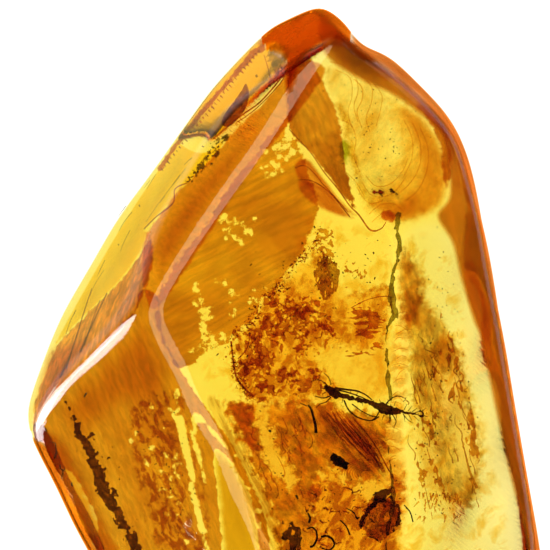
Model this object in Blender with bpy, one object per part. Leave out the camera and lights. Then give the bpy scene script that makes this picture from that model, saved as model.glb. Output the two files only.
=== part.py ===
"""A polished amber nodule, lying on its flat back.

Frame: metres, +Z up, origin under the middle of its bounding box on the surface that it rests on. +Y runs along the
stone towards its narrow, pointed end.

The stone is a set of ground and polished faces with softly rounded edges between them. Each face is a plane: an upper
face (table, crown and side bevels) or a back face (the flat rest face and the bevels round it). Every face has its own
softness, which sets how wide the rounding along its edges is. The body is where the sum of exp(distance / softness)
over all the faces is under one, so the faces meet in smooth edges. A closed block of square cells is pushed out from
the middle of the stone until it lies on that surface.
"""

import math

import bmesh
import bpy
import numpy as np

# ---- driving dimensions, in millimetres -------------------------------------------------------------------------
MM = 0.001
GRID = 0.058            # one step of the layout grid that the faces are laid out on
MID_X, MID_Y = 290.0, 391.0   # layout grid point that lies over the middle of the stone
TABLE_Z = 12.6          # height of the table's left edge above the rest face
TABLE_TILT = 4.5        # degrees: the table falls towards the right side
CROWN_TILT = 33.0       # upper left crown face
FLANK_TILT = 33.0       # lower left crown face
GIRDLE_Z = 8.1          # height of the widest outline
CELLS = 27              # cells along each side of each face of the block
CORE = (0.6, 0.0, 5.6)  # a point inside the stone that the block is pushed out from
REACH = (15.0, 22.0, 6.5)     # rough half sizes, so that the cells come out even


def grid_point(u, v):
    """Layout grid (u to the right, v down the stone) to millimetres."""
    return (u - MID_X) * GRID, (MID_Y - v) * GRID


def face(u, v, z, hu, hv, tilt, soft, up=True):
    """A plane through grid point (u, v) at height z. It slopes down and outwards along (hu, hv) by tilt degrees from
    level, on the upper side of the stone, or up and outwards on its back."""
    x, y = grid_point(u, v)
    length = math.hypot(hu, hv)
    t = math.radians(tilt)
    n = (hu / length * math.sin(t), -hv / length * math.sin(t), math.cos(t) if up else -math.cos(t))
    return n, n[0] * x + n[1] * y + n[2] * z, soft


FACES = [
    # upper side
    face(165, 290, TABLE_Z, 1.0, 0.10, TABLE_TILT, 0.30),          # table
    face(174, 279, TABLE_Z, -0.79, -0.613, CROWN_TILT, 0.24),      # upper left crown
    face(160, 323, TABLE_Z, -0.862, 0.507, FLANK_TILT, 0.28),      # lower left crown, down to the outline
    face(232, 80, 8.3, -0.640, -0.768, 60, 0.10),                  # upper left side, near the tip
    face(183, 130, GIRDLE_Z, -0.79, -0.613, 60, 0.10),             # upper left side
    face(126, 220, GIRDLE_Z, -0.826, -0.564, 60, 0.10),            # upper left side, lower
    face(64, 322, 6.4, -0.925, -0.38, 58, 0.22),              # left side
    face(30, 408, 6.3, -0.965, -0.262, 68, 0.28),                  # left corner
    face(291, 16, 6.4, -0.48, -0.877, 76, 0.30),                   # tip, left
    face(342, 13, 6.4, 0.56, -0.83, 78, 0.42),                     # tip, right
    face(414, 77, 5.0, 0.70, -0.715, 84, 0.46),                    # right shoulder
    face(482, 169, 4.6, 0.93, -0.36, 86, 0.50),                    # right shoulder to right side
    face(510, 345, 4.2, 0.984, -0.175, 87, 0.50),                  # right side
    face(557, 600, 4.0, 0.986, -0.165, 87, 0.50),                  # right side, lower
    face(508, 700, 3.8, 0.83, 0.56, 66, 0.55),                     # butt end, right
    face(385, 762, 3.8, 0.16, 0.99, 60, 0.55),                     # butt end
    face(190, 716, 3.8, -0.66, 0.75, 62, 0.50),                    # butt end, left
    # back
    face(330, 400, 0.0, 0.0, 1.0, 0.0, 0.16, up=False),            # rest face
    face(402, 400, 0.0, 1.0, -0.03, 37, 0.18, up=False),           # right back
    face(343, 178, 0.0, 0.688, -0.726, 33, 0.20, up=False),        # upper right back
    face(296, 186, 0.0, 0.10, -1.0, 33, 0.20, up=False),           # tip back
    face(193, 193, 0.0, -0.80, -0.60, 70, 0.20, up=False),         # upper left back
    face(73, 434, 0.0, -0.90, 0.43, 68, 0.20, up=False),           # lower left back
    face(86, 350, 0.0, -0.925, -0.38, 68, 0.20, up=False),         # left back
    face(205, 668, 0.0, -0.60, 0.80, 42, 0.22, up=False),          # butt end back, left
    face(395, 700, 0.0, 0.20, 0.98, 40, 0.22, up=False),           # butt end back
    # outline, near upright, which rounds the girdle
    face(22, 428, 5.2, -1.0, 0.02, 88, 0.26),
]
NORMALS = np.array([f[0] for f in FACES])
OFFSETS = np.array([f[1] for f in FACES])
SOFT = np.array([f[2] for f in FACES])
REST = 17               # the rest face's place in FACES, which stays dead flat

# hollows and swells of the hand-polished surface: centre, radius and depth in millimetres (positive is a hollow)
DENTS = [
    (grid_point(364, 42) + (7.5,), (1.3, 1.3, 3.2), 0.42),   # nick between the tip and the right shoulder
    (grid_point(246, 470) + (11.6,), (3.0, 4.2, 2.6), -0.12),   # low swell in the lower left crown's upper edge
    (grid_point(262, 600) + (11.4,), (3.6, 5.0, 3.0), -0.45),   # swell below it
    (grid_point(150, 185) + (4.6,), (2.2, 2.2, 3.0), 0.10),   # slight hollow in the upper left outline
    (grid_point(120, 330) + (8.5,), (2.4, 2.6, 3.0), 0.14),   # hollow in the left side, above the corner
    (grid_point(386, 140) + (1.8,), (3.0, 4.0, 2.4), 0.50),   # shell-shaped hollow in the upper right back
    (grid_point(255, 330) + (12.2,), (3.6, 5.0, 2.5), -0.06),
    (grid_point(400, 360) + (11.2,), (4.6, 7.5, 2.5), -0.10),
]

def waves(p):
    """Long shallow waves of a hand-polished surface, in millimetres."""
    x, y, z = p[:, 0], p[:, 1], p[:, 2]
    return (
        0.020 * np.sin(0.62 * x + 0.35 * y + 0.9 * z + 0.7)
        + 0.016 * np.sin(-0.48 * x + 0.83 * y - 0.6 * z + 2.1)
        + 0.009 * np.sin(1.35 * x - 0.92 * y + 0.7 * z + 4.0)
    )


def inside_sum(p):
    """Under one inside the stone, one on its surface."""
    lift = waves(p)
    for centre, radius, depth in DENTS:
        q = (p - np.array(centre)) / np.array(radius)
        lift = lift + depth * np.exp(-(q * q).sum(axis=1))
    d = p @ NORMALS.T - OFFSETS + lift[:, None]
    d[:, REST] -= lift
    return np.exp(np.minimum(d / SOFT, 50.0)).sum(axis=1)


def surface(directions):
    """Distance along each direction from the core to the surface, by bisection."""
    core = np.array(CORE)
    near, far = np.zeros(len(directions)), np.full(len(directions), 60.0)
    for _ in range(48):
        middle = (near + far) / 2
        inside = inside_sum(core + directions * middle[:, None]) < 1.0
        near, far = np.where(inside, middle, near), np.where(inside, far, middle)
    return core + directions * ((near + far) / 2)[:, None]


def amber_mesh(cells):
    """The stone's closed mesh: a block of cells pushed out onto the surface."""
    bm = bmesh.new()
    bmesh.ops.create_cube(bm, size=2.0)
    bmesh.ops.subdivide_edges(bm, edges=bm.edges[:], cuts=cells - 1, use_grid_fill=True)
    bm.verts.ensure_lookup_table()
    block = np.array([v.co for v in bm.verts])
    even = np.tan(block * math.pi / 4 * 0.98) / math.tan(math.pi / 4 * 0.98)
    directions = even * np.array(REACH)
    directions /= np.linalg.norm(directions, axis=1)[:, None]
    points = surface(directions)
    points[np.abs(points[:, 2]) < 0.004, 2] = 0.0
    for v, p in zip(bm.verts, points):
        v.co = p * MM
    bmesh.ops.triangulate(bm, faces=bm.faces[:], quad_method="SHORT_EDGE")
    bmesh.ops.recalc_face_normals(bm, faces=bm.faces[:])
    mesh = bpy.data.meshes.new("amber")
    bm.to_mesh(mesh)
    bm.free()
    return mesh


def amber_material():
    material = bpy.data.materials.new("polished_amber")
    material.use_nodes = True
    shader = material.node_tree.nodes["Principled BSDF"]
    shader.inputs["Base Color"].default_value = (0.93, 0.52, 0.03, 1.0)
    shader.inputs["Roughness"].default_value = 0.04
    shader.inputs["Metallic"].default_value = 0.0
    shader.inputs["IOR"].default_value = 1.54
    shader.inputs["Transmission Weight"].default_value = 1.0
    return material


def main():
    for obj in list(bpy.data.objects):
        bpy.data.objects.remove(obj)
    mesh = amber_mesh(CELLS)
    # the origin goes under the middle of the bounding box
    co = np.array([v.co for v in mesh.vertices])
    low, high = co.min(axis=0), co.max(axis=0)
    shift = np.array([(low[0] + high[0]) / 2, (low[1] + high[1]) / 2, low[2]])
    for v in mesh.vertices:
        v.co = np.array(v.co) - shift
    mesh.shade_smooth()
    stone = bpy.data.objects.new("amber", mesh)
    mesh.materials.append(amber_material())
    bpy.context.scene.collection.objects.link(stone)
    print("shift_mm", (shift / MM).round(4), "size_mm", ((high - low) / MM).round(2))


main()
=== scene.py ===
import math
import bmesh
import bpy
import numpy as np
from mathutils import Matrix, Vector


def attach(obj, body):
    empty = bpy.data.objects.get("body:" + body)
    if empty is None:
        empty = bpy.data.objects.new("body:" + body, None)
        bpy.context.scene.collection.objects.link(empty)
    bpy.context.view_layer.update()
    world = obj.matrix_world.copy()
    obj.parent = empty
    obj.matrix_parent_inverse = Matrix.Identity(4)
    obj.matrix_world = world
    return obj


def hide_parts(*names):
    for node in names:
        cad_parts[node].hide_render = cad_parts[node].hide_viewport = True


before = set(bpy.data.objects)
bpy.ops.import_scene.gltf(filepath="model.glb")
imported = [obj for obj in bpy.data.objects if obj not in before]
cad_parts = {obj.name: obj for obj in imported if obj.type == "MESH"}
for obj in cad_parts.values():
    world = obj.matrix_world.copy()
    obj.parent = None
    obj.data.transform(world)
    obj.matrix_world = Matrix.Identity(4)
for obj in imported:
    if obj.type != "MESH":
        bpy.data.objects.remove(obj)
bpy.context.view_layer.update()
scene = bpy.context.scene

# ------------------------------------------------------------------ layout
# The stone is laid out on a grid of 0.058 mm steps, u to the right and v down the stone, as in the CAD.
MM = 0.001
GRID = 0.058
MID_X, MID_Y = 290.0, 391.0
SHIFT = (-0.2444, -0.2133)      # the CAD's step from the layout grid's middle to the middle of its box, in mm


def grid_point(u, v):
    return (u - MID_X) * GRID, (MID_Y - v) * GRID


def at(u, v, z):
    """A layout grid point at height z, in the frame's millimetres."""
    x, y = grid_point(u, v)
    return np.array((x - SHIFT[0], y - SHIFT[1], z))


# ------------------------------------------------------------------ camera
# Straight above the stone. The layout grid's (275, 275) is the middle of the frame.
EYE = 300.0                     # mm above the level at which one grid step is one pixel
SCALE_Z = 6.0
eye = at(275, 275, SCALE_Z + EYE)
cam_data = bpy.data.cameras.new("camera")
cam_data.sensor_width = 36.0
cam_data.lens = 36.0 * EYE / (550 * GRID)
cam_data.clip_start, cam_data.clip_end = 0.01, 10.0
cam = bpy.data.objects.new("camera", cam_data)
cam.location = Vector(eye * MM)
cam.rotation_euler = (0.0, 0.0, 0.0)
scene.collection.objects.link(cam)
scene.camera = cam
scene.view_settings.view_transform = "Standard"
scene.cycles.max_bounces = 32
scene.cycles.transmission_bounces = 28
scene.cycles.glossy_bounces = 12
scene.cycles.diffuse_bounces = 5
scene.cycles.volume_bounces = 0
scene.cycles.transparent_max_bounces = 48
scene.cycles.caustics_reflective = True
scene.cycles.caustics_refractive = True
scene.cycles.sample_clamp_indirect = 6.0


# ------------------------------------------------------------------ small tools
def material(name):
    m = bpy.data.materials.new(name)
    m.use_nodes = True
    nt = m.node_tree
    nt.nodes.clear()
    out = nt.nodes.new("ShaderNodeOutputMaterial")
    return m, nt, out


def node(nt, kind, ins=None, **props):
    n = nt.nodes.new(kind)
    for k, v in props.items():
        setattr(n, k, v)
    for k, v in (ins or {}).items():
        if isinstance(v, bpy.types.NodeSocket):
            nt.links.new(v, n.inputs[k])
        else:
            n.inputs[k].default_value = v
    return n


def ramp(nt, fac, stops):
    n = nt.nodes.new("ShaderNodeValToRGB")
    nt.links.new(fac, n.inputs["Fac"])
    els = n.color_ramp.elements
    while len(els) < len(stops):
        els.new(0.5)
    for e, (p, c) in zip(els, stops):
        e.position = p
        e.color = c if len(c) == 4 else (*c, 1.0)
    return n.outputs["Color"]


def mapped(nt, scale=(1.0, 1.0, 1.0), rot=(0.0, 0.0, 0.0)):
    tc = node(nt, "ShaderNodeTexCoord")
    turned = tc.outputs["Object"]
    if any(rot):
        turned = node(nt, "ShaderNodeMapping", {"Vector": turned, "Rotation": rot}).outputs["Vector"]
    return node(nt, "ShaderNodeMapping", {"Vector": turned, "Scale": scale}).outputs["Vector"]


def mesh_object(name, verts_mm, faces, mat, smooth=True, outward=True):
    me = bpy.data.meshes.new(name)
    me.from_pydata((np.asarray(verts_mm, float) * MM).tolist(), [], faces.tolist() if hasattr(faces, "tolist") else faces)
    me.update()
    if outward:
        bm = bmesh.new()
        bm.from_mesh(me)
        bmesh.ops.recalc_face_normals(bm, faces=bm.faces[:])
        bm.to_mesh(me)
        bm.free()
    if smooth:
        me.shade_smooth()
    me.materials.append(mat)
    ob = bpy.data.objects.new(name, me)
    scene.collection.objects.link(ob)
    return ob


# ------------------------------------------------------------------ the stone
def face(u, v, z, hu, hv, tilt, soft, up=True):
    x, y = grid_point(u, v)
    length = math.hypot(hu, hv)
    t = math.radians(tilt)
    n = (hu / length * math.sin(t), -hv / length * math.sin(t), math.cos(t) if up else -math.cos(t))
    return n, n[0] * x + n[1] * y + n[2] * z, soft


TABLE_Z = 12.6
TABLE_TILT = 4.5
CROWN_TILT = 33.0
FLANK_TILT = 33.0
GIRDLE_Z = 8.1
REST = 17
CORE = (0.6, 0.0, 5.6)
REACH = (15.0, 22.0, 6.5)

FACES = [
    # upper side
    face(165, 290, TABLE_Z, 1.0, 0.10, TABLE_TILT, 0.30),          # table
    face(174, 279, TABLE_Z, -0.79, -0.613, CROWN_TILT, 0.24),      # upper left crown
    face(160, 323, TABLE_Z, -0.862, 0.507, FLANK_TILT, 0.28),      # lower left crown, down to the outline
    face(232, 80, 8.3, -0.640, -0.768, 60, 0.10),                  # upper left side, near the tip
    face(183, 130, GIRDLE_Z, -0.79, -0.613, 60, 0.10),             # upper left side
    face(126, 220, GIRDLE_Z, -0.826, -0.564, 60, 0.10),            # upper left side, lower
    face(64, 322, 6.4, -0.925, -0.38, 58, 0.22),              # left side
    face(30, 408, 6.3, -0.965, -0.262, 68, 0.28),                  # left corner
    face(291, 16, 6.4, -0.48, -0.877, 76, 0.30),                   # tip, left
    face(342, 13, 6.4, 0.56, -0.83, 78, 0.42),                     # tip, right
    face(414, 77, 5.0, 0.70, -0.715, 84, 0.46),                    # right shoulder
    face(482, 169, 4.6, 0.93, -0.36, 86, 0.50),                    # right shoulder to right side
    face(510, 345, 4.2, 0.984, -0.175, 87, 0.50),                  # right side
    face(557, 600, 4.0, 0.986, -0.165, 87, 0.50),                  # right side, lower
    face(508, 700, 3.8, 0.83, 0.56, 66, 0.55),                     # butt end, right
    face(385, 762, 3.8, 0.16, 0.99, 60, 0.55),                     # butt end
    face(190, 716, 3.8, -0.66, 0.75, 62, 0.50),                    # butt end, left
    # back
    face(330, 400, 0.0, 0.0, 1.0, 0.0, 0.16, up=False),            # rest face
    face(402, 400, 0.0, 1.0, -0.03, 37, 0.18, up=False),           # right back
    face(343, 178, 0.0, 0.688, -0.726, 33, 0.20, up=False),        # upper right back
    face(296, 186, 0.0, 0.10, -1.0, 33, 0.20, up=False),           # tip back
    face(193, 193, 0.0, -0.80, -0.60, 70, 0.20, up=False),         # upper left back
    face(73, 434, 0.0, -0.90, 0.43, 68, 0.20, up=False),           # lower left back
    face(86, 350, 0.0, -0.925, -0.38, 68, 0.20, up=False),         # left back
    face(205, 668, 0.0, -0.60, 0.80, 42, 0.22, up=False),          # butt end back, left
    face(395, 700, 0.0, 0.20, 0.98, 40, 0.22, up=False),           # butt end back
    # outline, near upright, which rounds the girdle
    face(22, 428, 5.2, -1.0, 0.02, 88, 0.26),
]
DENTS = [
    (grid_point(364, 42) + (7.5,), (1.3, 1.3, 3.2), 0.42),   # nick between the tip and the right shoulder
    (grid_point(246, 470) + (11.6,), (3.0, 4.2, 2.6), -0.12),   # low swell in the lower left crown's upper edge
    (grid_point(262, 600) + (11.4,), (3.6, 5.0, 3.0), -0.45),   # swell below it
    (grid_point(150, 185) + (4.6,), (2.2, 2.2, 3.0), 0.10),   # slight hollow in the upper left outline
    (grid_point(120, 330) + (8.5,), (2.4, 2.6, 3.0), 0.14),   # hollow in the left side, above the corner
    (grid_point(386, 140) + (1.8,), (3.0, 4.0, 2.4), 0.50),   # shell-shaped hollow in the upper right back
    (grid_point(255, 330) + (12.2,), (3.6, 5.0, 2.5), -0.06),
    (grid_point(400, 360) + (11.2,), (4.6, 7.5, 2.5), -0.10),
]

NORMALS = np.array([f[0] for f in FACES])
OFFSETS = np.array([f[1] for f in FACES])
SOFT = np.array([f[2] for f in FACES])


def waves(p):
    x, y, z = p[:, 0], p[:, 1], p[:, 2]
    return (0.020 * np.sin(0.62 * x + 0.35 * y + 0.9 * z + 0.7)
        + 0.016 * np.sin(-0.48 * x + 0.83 * y - 0.6 * z + 2.1)
        + 0.009 * np.sin(1.35 * x - 0.92 * y + 0.7 * z + 4.0))


def smoothstep(a, b, x):
    t = np.clip((x - a) / (b - a), 0.0, 1.0)
    return t * t * (3 - 2 * t)


def relief(p):
    """Small extra relief that only the fine surface carries: shell-shaped fracture ripples on the upper right back."""
    x, y, z = p[:, 0], p[:, 1], p[:, 2]
    lift = np.zeros(len(p))
    cx, cy = grid_point(392, 205)
    r = np.hypot((x - cx) * 1.0, (y - cy) * 0.85)
    a = np.arctan2(y - cy, x - cx)
    wob = 0.35 * np.sin(3.0 * a + 0.8 * r) + 0.22 * np.sin(7.0 * a - 1.3 * r)
    mask = smoothstep(7.2, 5.2, r) * smoothstep(4.6, 3.2, z) * smoothstep(cy - 1.2, cy + 0.4, y)
    lift += 0.018 * mask * np.sin(4.4 * (r + wob))
    lift += 0.006 * mask * np.sin(11.0 * (r - 0.5 * wob) + 2.0 * a)
    return lift


def inside_sum(p):
    lift = waves(p)
    for centre, radius, depth in DENTS:
        q = (p - np.array(centre)) / np.array(radius)
        lift = lift + depth * np.exp(-(q * q).sum(axis=1))
    lift = lift + relief(p)
    d = p @ NORMALS.T - OFFSETS + lift[:, None]
    d[:, REST] -= lift
    return np.exp(np.minimum(d / SOFT, 50.0)).sum(axis=1)


def stone_mesh(cells):
    """The same closed block of square cells as the CAD's, finer, pushed out to the polished surface."""
    t = np.linspace(-1.0, 1.0, cells + 1)
    t = np.tan(t * math.pi / 4 * 0.98) / math.tan(math.pi / 4 * 0.98)
    index, directions, faces = {}, [], []
    for axis in range(3):
        for side in (-1.0, 1.0):
            ids = np.empty((cells + 1, cells + 1), int)
            for i in range(cells + 1):
                for j in range(cells + 1):
                    d = [0.0, 0.0, 0.0]
                    d[axis] = side
                    d[(axis + 1) % 3] = t[i]
                    d[(axis + 2) % 3] = t[j]
                    key = (round(d[0], 9), round(d[1], 9), round(d[2], 9))
                    if key not in index:
                        index[key] = len(directions)
                        directions.append(d)
                    ids[i, j] = index[key]
            a, b, c, e = ids[:-1, :-1], ids[1:, :-1], ids[1:, 1:], ids[:-1, 1:]
            quad = np.stack([a, b, c, e], -1).reshape(-1, 4)
            faces.append(quad if side > 0 else quad[:, ::-1])
    directions = np.array(directions) * np.array(REACH)
    directions /= np.linalg.norm(directions, axis=1)[:, None]
    core = np.array(CORE)
    near, far = np.zeros(len(directions)), np.full(len(directions), 60.0)
    for _ in range(40):
        middle = (near + far) / 2
        inside = inside_sum(core + directions * middle[:, None]) < 1.0
        near, far = np.where(inside, middle, near), np.where(inside, far, middle)
    points = core + directions * ((near + far) / 2)[:, None]
    points[np.abs(points[:, 2]) < 0.004, 2] = 0.0
    points[:, 0] -= SHIFT[0]
    points[:, 1] -= SHIFT[1]
    return points, np.concatenate(faces)


def amber_material():
    m, nt, out = material("amber")
    fine = mapped(nt, (1000, 1000, 1000))
    # polish marks: very fine streaks and a slight orange peel
    streaks = node(nt, "ShaderNodeTexNoise", {"Vector": mapped(nt, (900, 7000, 2500), (0, 0, 0.66)), "Scale": 1.0, "Detail": 2.0})
    peel = node(nt, "ShaderNodeTexNoise", {"Vector": fine, "Scale": 0.9, "Detail": 3.0})
    mix = node(nt, "ShaderNodeMath", {0: streaks.outputs["Fac"], 1: peel.outputs["Fac"]}, operation="ADD")
    bump = node(nt, "ShaderNodeBump", {"Height": mix.outputs[0], "Strength": 0.03, "Distance": 0.0001})
    rough = node(nt, "ShaderNodeMapRange", {"Value": streaks.outputs["Fac"], "From Min": 0.45, "From Max": 0.8, "To Min": 0.0, "To Max": 0.03})
    tint = ramp(nt, peel.outputs["Fac"], [(0.3, (1.0, 0.985, 0.95)), (0.7, (1.0, 1.0, 1.0))])
    bsdf = node(nt, "ShaderNodeBsdfPrincipled", {"Base Color": tint, "IOR": 1.54, "Transmission Weight": 1.0,
        "Roughness": rough.outputs["Result"], "Normal": bump.outputs["Normal"]})
    vol = node(nt, "ShaderNodeVolumeAbsorption", {"Color": (0.985, 0.90, 0.0, 1.0), "Density": 190.0})
    nt.links.new(bsdf.outputs["BSDF"], out.inputs["Surface"])
    nt.links.new(vol.outputs["Volume"], out.inputs["Volume"])
    return m


CELLS = 110
points, faces = stone_mesh(CELLS)
stone = mesh_object("amber_stone", points, faces, amber_material())
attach(stone, "root")
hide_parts("amber")


# ------------------------------------------------------------------ looking into the stone
# What lies inside is laid out as it is seen from above: a layout grid point and a depth along the bent line of sight.
IOR = 1.54
LOOK_STEP = 3.0
LOOK_U = np.arange(-9.0, 594.0, LOOK_STEP)
LOOK_V = np.arange(-6.0, 777.0, LOOK_STEP)


def sight(u, v, z):
    """The line of sight through a layout grid point, at height z, in layout millimetres."""
    gx, gy = grid_point(u, v)
    ex, ey = grid_point(275.0, 275.0)
    k = (SCALE_Z + EYE - z) / EYE
    return np.stack([ex + (gx - ex) * k, ey + (gy - ey) * k, z + 0.0 * gx], -1)


def look_table():
    """Height of the surface and the bent direction inside, for a grid of lines of sight."""
    uu, vv = np.meshgrid(LOOK_U, LOOK_V, indexing="ij")
    u, v = uu.ravel(), vv.ravel()
    n = len(u)
    found = np.zeros(n, bool)
    high, low = np.full(n, 13.6), np.full(n, 0.0)
    levels = np.linspace(13.4, 1.0, 32)
    for before, z in zip(levels[:-1], levels[1:]):
        todo = np.nonzero(~found)[0]
        hit = todo[inside_sum(sight(u[todo], v[todo], z)) < 1.0]
        high[hit], low[hit] = before, z
        found[hit] = True
    f = np.nonzero(found)[0]
    for _ in range(13):
        middle = (high[f] + low[f]) / 2
        hit = inside_sum(sight(u[f], v[f], middle)) < 1.0
        low[f] = np.where(hit, middle, low[f])
        high[f] = np.where(hit, high[f], middle)
    z = low
    p = sight(u[f], v[f], z[f])
    n_out = np.zeros((len(f), 3))
    for a in range(3):
        step = np.zeros(3)
        step[a] = 0.02
        n_out[:, a] = np.log(inside_sum(p + step)) - np.log(inside_sum(p - step))
    n_out /= np.linalg.norm(n_out, axis=1)[:, None]
    ray = sight(u[f], v[f], z[f] - 1.0) - p
    ray /= np.linalg.norm(ray, axis=1)[:, None]
    cos_i = -(ray * n_out).sum(1)
    eta = 1.0 / IOR
    bent = eta * ray + (eta * cos_i - np.sqrt(1 - eta * eta * (1 - cos_i ** 2)))[:, None] * n_out
    data = np.full((n, 4), np.nan)
    data[f, 0] = z[f]
    data[f, 1:] = bent
    data = data.reshape(len(LOOK_U), len(LOOK_V), 4)
    for _ in range(10):      # carry the values a little past the outline
        gap = np.isnan(data[..., 0])
        pad = np.pad(data, ((1, 1), (1, 1), (0, 0)), constant_values=np.nan)
        near = np.stack([pad[i:i + data.shape[0], j:j + data.shape[1]] for i in range(3) for j in range(3) if (i, j) != (1, 1)])
        good = ~np.isnan(near[..., :1])
        total = np.where(good, near, 0.0).sum(0)
        count = good.sum(0)
        fill = gap & (count[..., 0] > 0)
        data[fill] = (total / np.maximum(count, 1))[fill]
    data[np.isnan(data[..., 0])] = (6.0, 0.0, 0.0, -1.0)
    return data


LOOK = look_table()


def seen(u, v, depth):
    """The point that shows at (u, v) from above, depth millimetres inside the stone, in the frame's millimetres."""
    u, v, depth = np.broadcast_arrays(np.asarray(u, float), np.asarray(v, float), np.asarray(depth, float))
    shape = u.shape
    u, v, depth = u.ravel(), v.ravel(), depth.ravel()
    a = np.clip((u - LOOK_U[0]) / LOOK_STEP, 0, len(LOOK_U) - 1.001)
    b = np.clip((v - LOOK_V[0]) / LOOK_STEP, 0, len(LOOK_V) - 1.001)
    i, j = a.astype(int), b.astype(int)
    s, t = (a - i)[:, None], (b - j)[:, None]
    d = ((LOOK[i, j] * (1 - s) + LOOK[i + 1, j] * s) * (1 - t) + (LOOK[i, j + 1] * (1 - s) + LOOK[i + 1, j + 1] * s) * t)
    p = sight(u, v, d[:, 0])
    way = d[:, 1:] / np.linalg.norm(d[:, 1:], axis=1)[:, None]
    p = p + way * depth[:, None]
    p[:, 0] -= SHIFT[0]
    p[:, 1] -= SHIFT[1]
    return p.reshape(shape + (3,))


def in_stone(p, margin=0.97):
    q = np.array(p, float).reshape(-1, 3)
    q[:, 0] += SHIFT[0]
    q[:, 1] += SHIFT[1]
    return (inside_sum(q) < margin).reshape(np.shape(p)[:-1])


# ------------------------------------------------------------------ shapes
RNG = np.random.default_rng(1907)
LATTICE = RNG.random((32, 32, 32))


def noise3(p, salt=0.0):
    q = np.asarray(p, float) + salt * np.array((7.31, 3.17, 5.77))
    i = np.floor(q).astype(int)
    f = q - i
    f = f * f * (3 - 2 * f)
    total = 0.0
    for a in (0, 1):
        for b in (0, 1):
            for c in (0, 1):
                w = (f[..., 0] if a else 1 - f[..., 0]) * (f[..., 1] if b else 1 - f[..., 1]) * (f[..., 2] if c else 1 - f[..., 2])
                total = total + w * LATTICE[(i[..., 0] + a) & 31, (i[..., 1] + b) & 31, (i[..., 2] + c) & 31]
    return total


def fbm(p, octaves=3, salt=0.0):
    total, gain, size = 0.0, 0.5, 0.0
    for k in range(octaves):
        total = total + gain * noise3(np.asarray(p) * 2.03 ** k, salt + k)
        size += gain
        gain *= 0.55
    return total / size


def curve(points, closed=False, n=6):
    """A smooth line through given points."""
    p = np.array(points, float)
    m = len(p)
    out = []
    for k in range(m if closed else m - 1):
        if closed:
            a, b, c, d = p[(k - 1) % m], p[k], p[(k + 1) % m], p[(k + 2) % m]
        else:
            a, b, c, d = p[max(k - 1, 0)], p[k], p[k + 1], p[min(k + 2, m - 1)]
        for t in np.linspace(0, 1, n, endpoint=False):
            out.append(0.5 * ((2 * b) + (c - a) * t + (2 * a - 5 * b + 4 * c - d) * t ** 2 + (3 * b - a - 3 * c + d) * t ** 3))
    if not closed:
        out.append(p[-1])
    return np.array(out)


def line_distance(u, v, path, closed=False):
    q = np.stack([u, v], -1)
    best = np.full(np.shape(u), 1e9)
    where = np.zeros(np.shape(u))
    m = len(path)
    for k in range(m if closed else m - 1):
        a, b = path[k][:2], path[(k + 1) % m][:2]
        ab = b - a
        t = np.clip(((q - a) @ ab) / max(ab @ ab, 1e-9), 0, 1)
        d = np.linalg.norm(q - a - t[..., None] * ab, axis=-1)
        closer = d < best
        best = np.where(closer, d, best)
        where = np.where(closer, (k + t) / max(m - 1, 1), where)
    return best, where


def inset(u, v, outline):
    """Signed distance to a closed outline, positive inside, in grid steps."""
    d, _ = line_distance(u, v, outline, closed=True)
    odd = np.zeros(np.shape(u), bool)
    m = len(outline)
    for k in range(m):
        (x0, y0), (x1, y1) = outline[k][:2], outline[(k + 1) % m][:2]
        if y0 == y1:
            continue
        cross = ((y0 > v) != (y1 > v)) & (u < (x1 - x0) * (v - y0) / (y1 - y0) + x0)
        odd ^= cross
    return np.where(odd, d, -d)


def own(ob):
    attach(ob, "root")
    return ob


def closed_slab(top, bottom, quads):
    """Two like sheets of quads joined round their edge."""
    used = np.unique(quads)
    index = -np.ones(len(top), int)
    index[used] = np.arange(len(used))
    quads = index[quads]
    n = len(used)
    verts = np.concatenate([top[used], bottom[used]])
    edges = np.concatenate([quads[:, [0, 1]], quads[:, [1, 2]], quads[:, [2, 3]], quads[:, [3, 0]]])
    keys = edges[:, 0] * n + edges[:, 1]
    back = edges[:, 1] * n + edges[:, 0]
    rim = edges[~np.isin(keys, back)]
    sides = np.stack([rim[:, 1], rim[:, 0], rim[:, 0] + n, rim[:, 1] + n], -1)
    return verts, np.concatenate([quads, quads[:, ::-1] + n, sides]), used


def mixed(nt, fac, a, b):
    n = nt.nodes.new("ShaderNodeMix")
    n.data_type = "RGBA"
    for k, v in ((0, fac), (6, a), (7, b)):
        if isinstance(v, bpy.types.NodeSocket):
            nt.links.new(v, n.inputs[k])
        else:
            n.inputs[k].default_value = v if k == 0 else (*v, 1.0)
    return n.outputs[2]


def root_of(c):
    """A sheet is crossed twice, at its front and at its back, so each of them takes the square root."""
    return tuple(max(x, 0.0) ** 0.5 for x in c)


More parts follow.
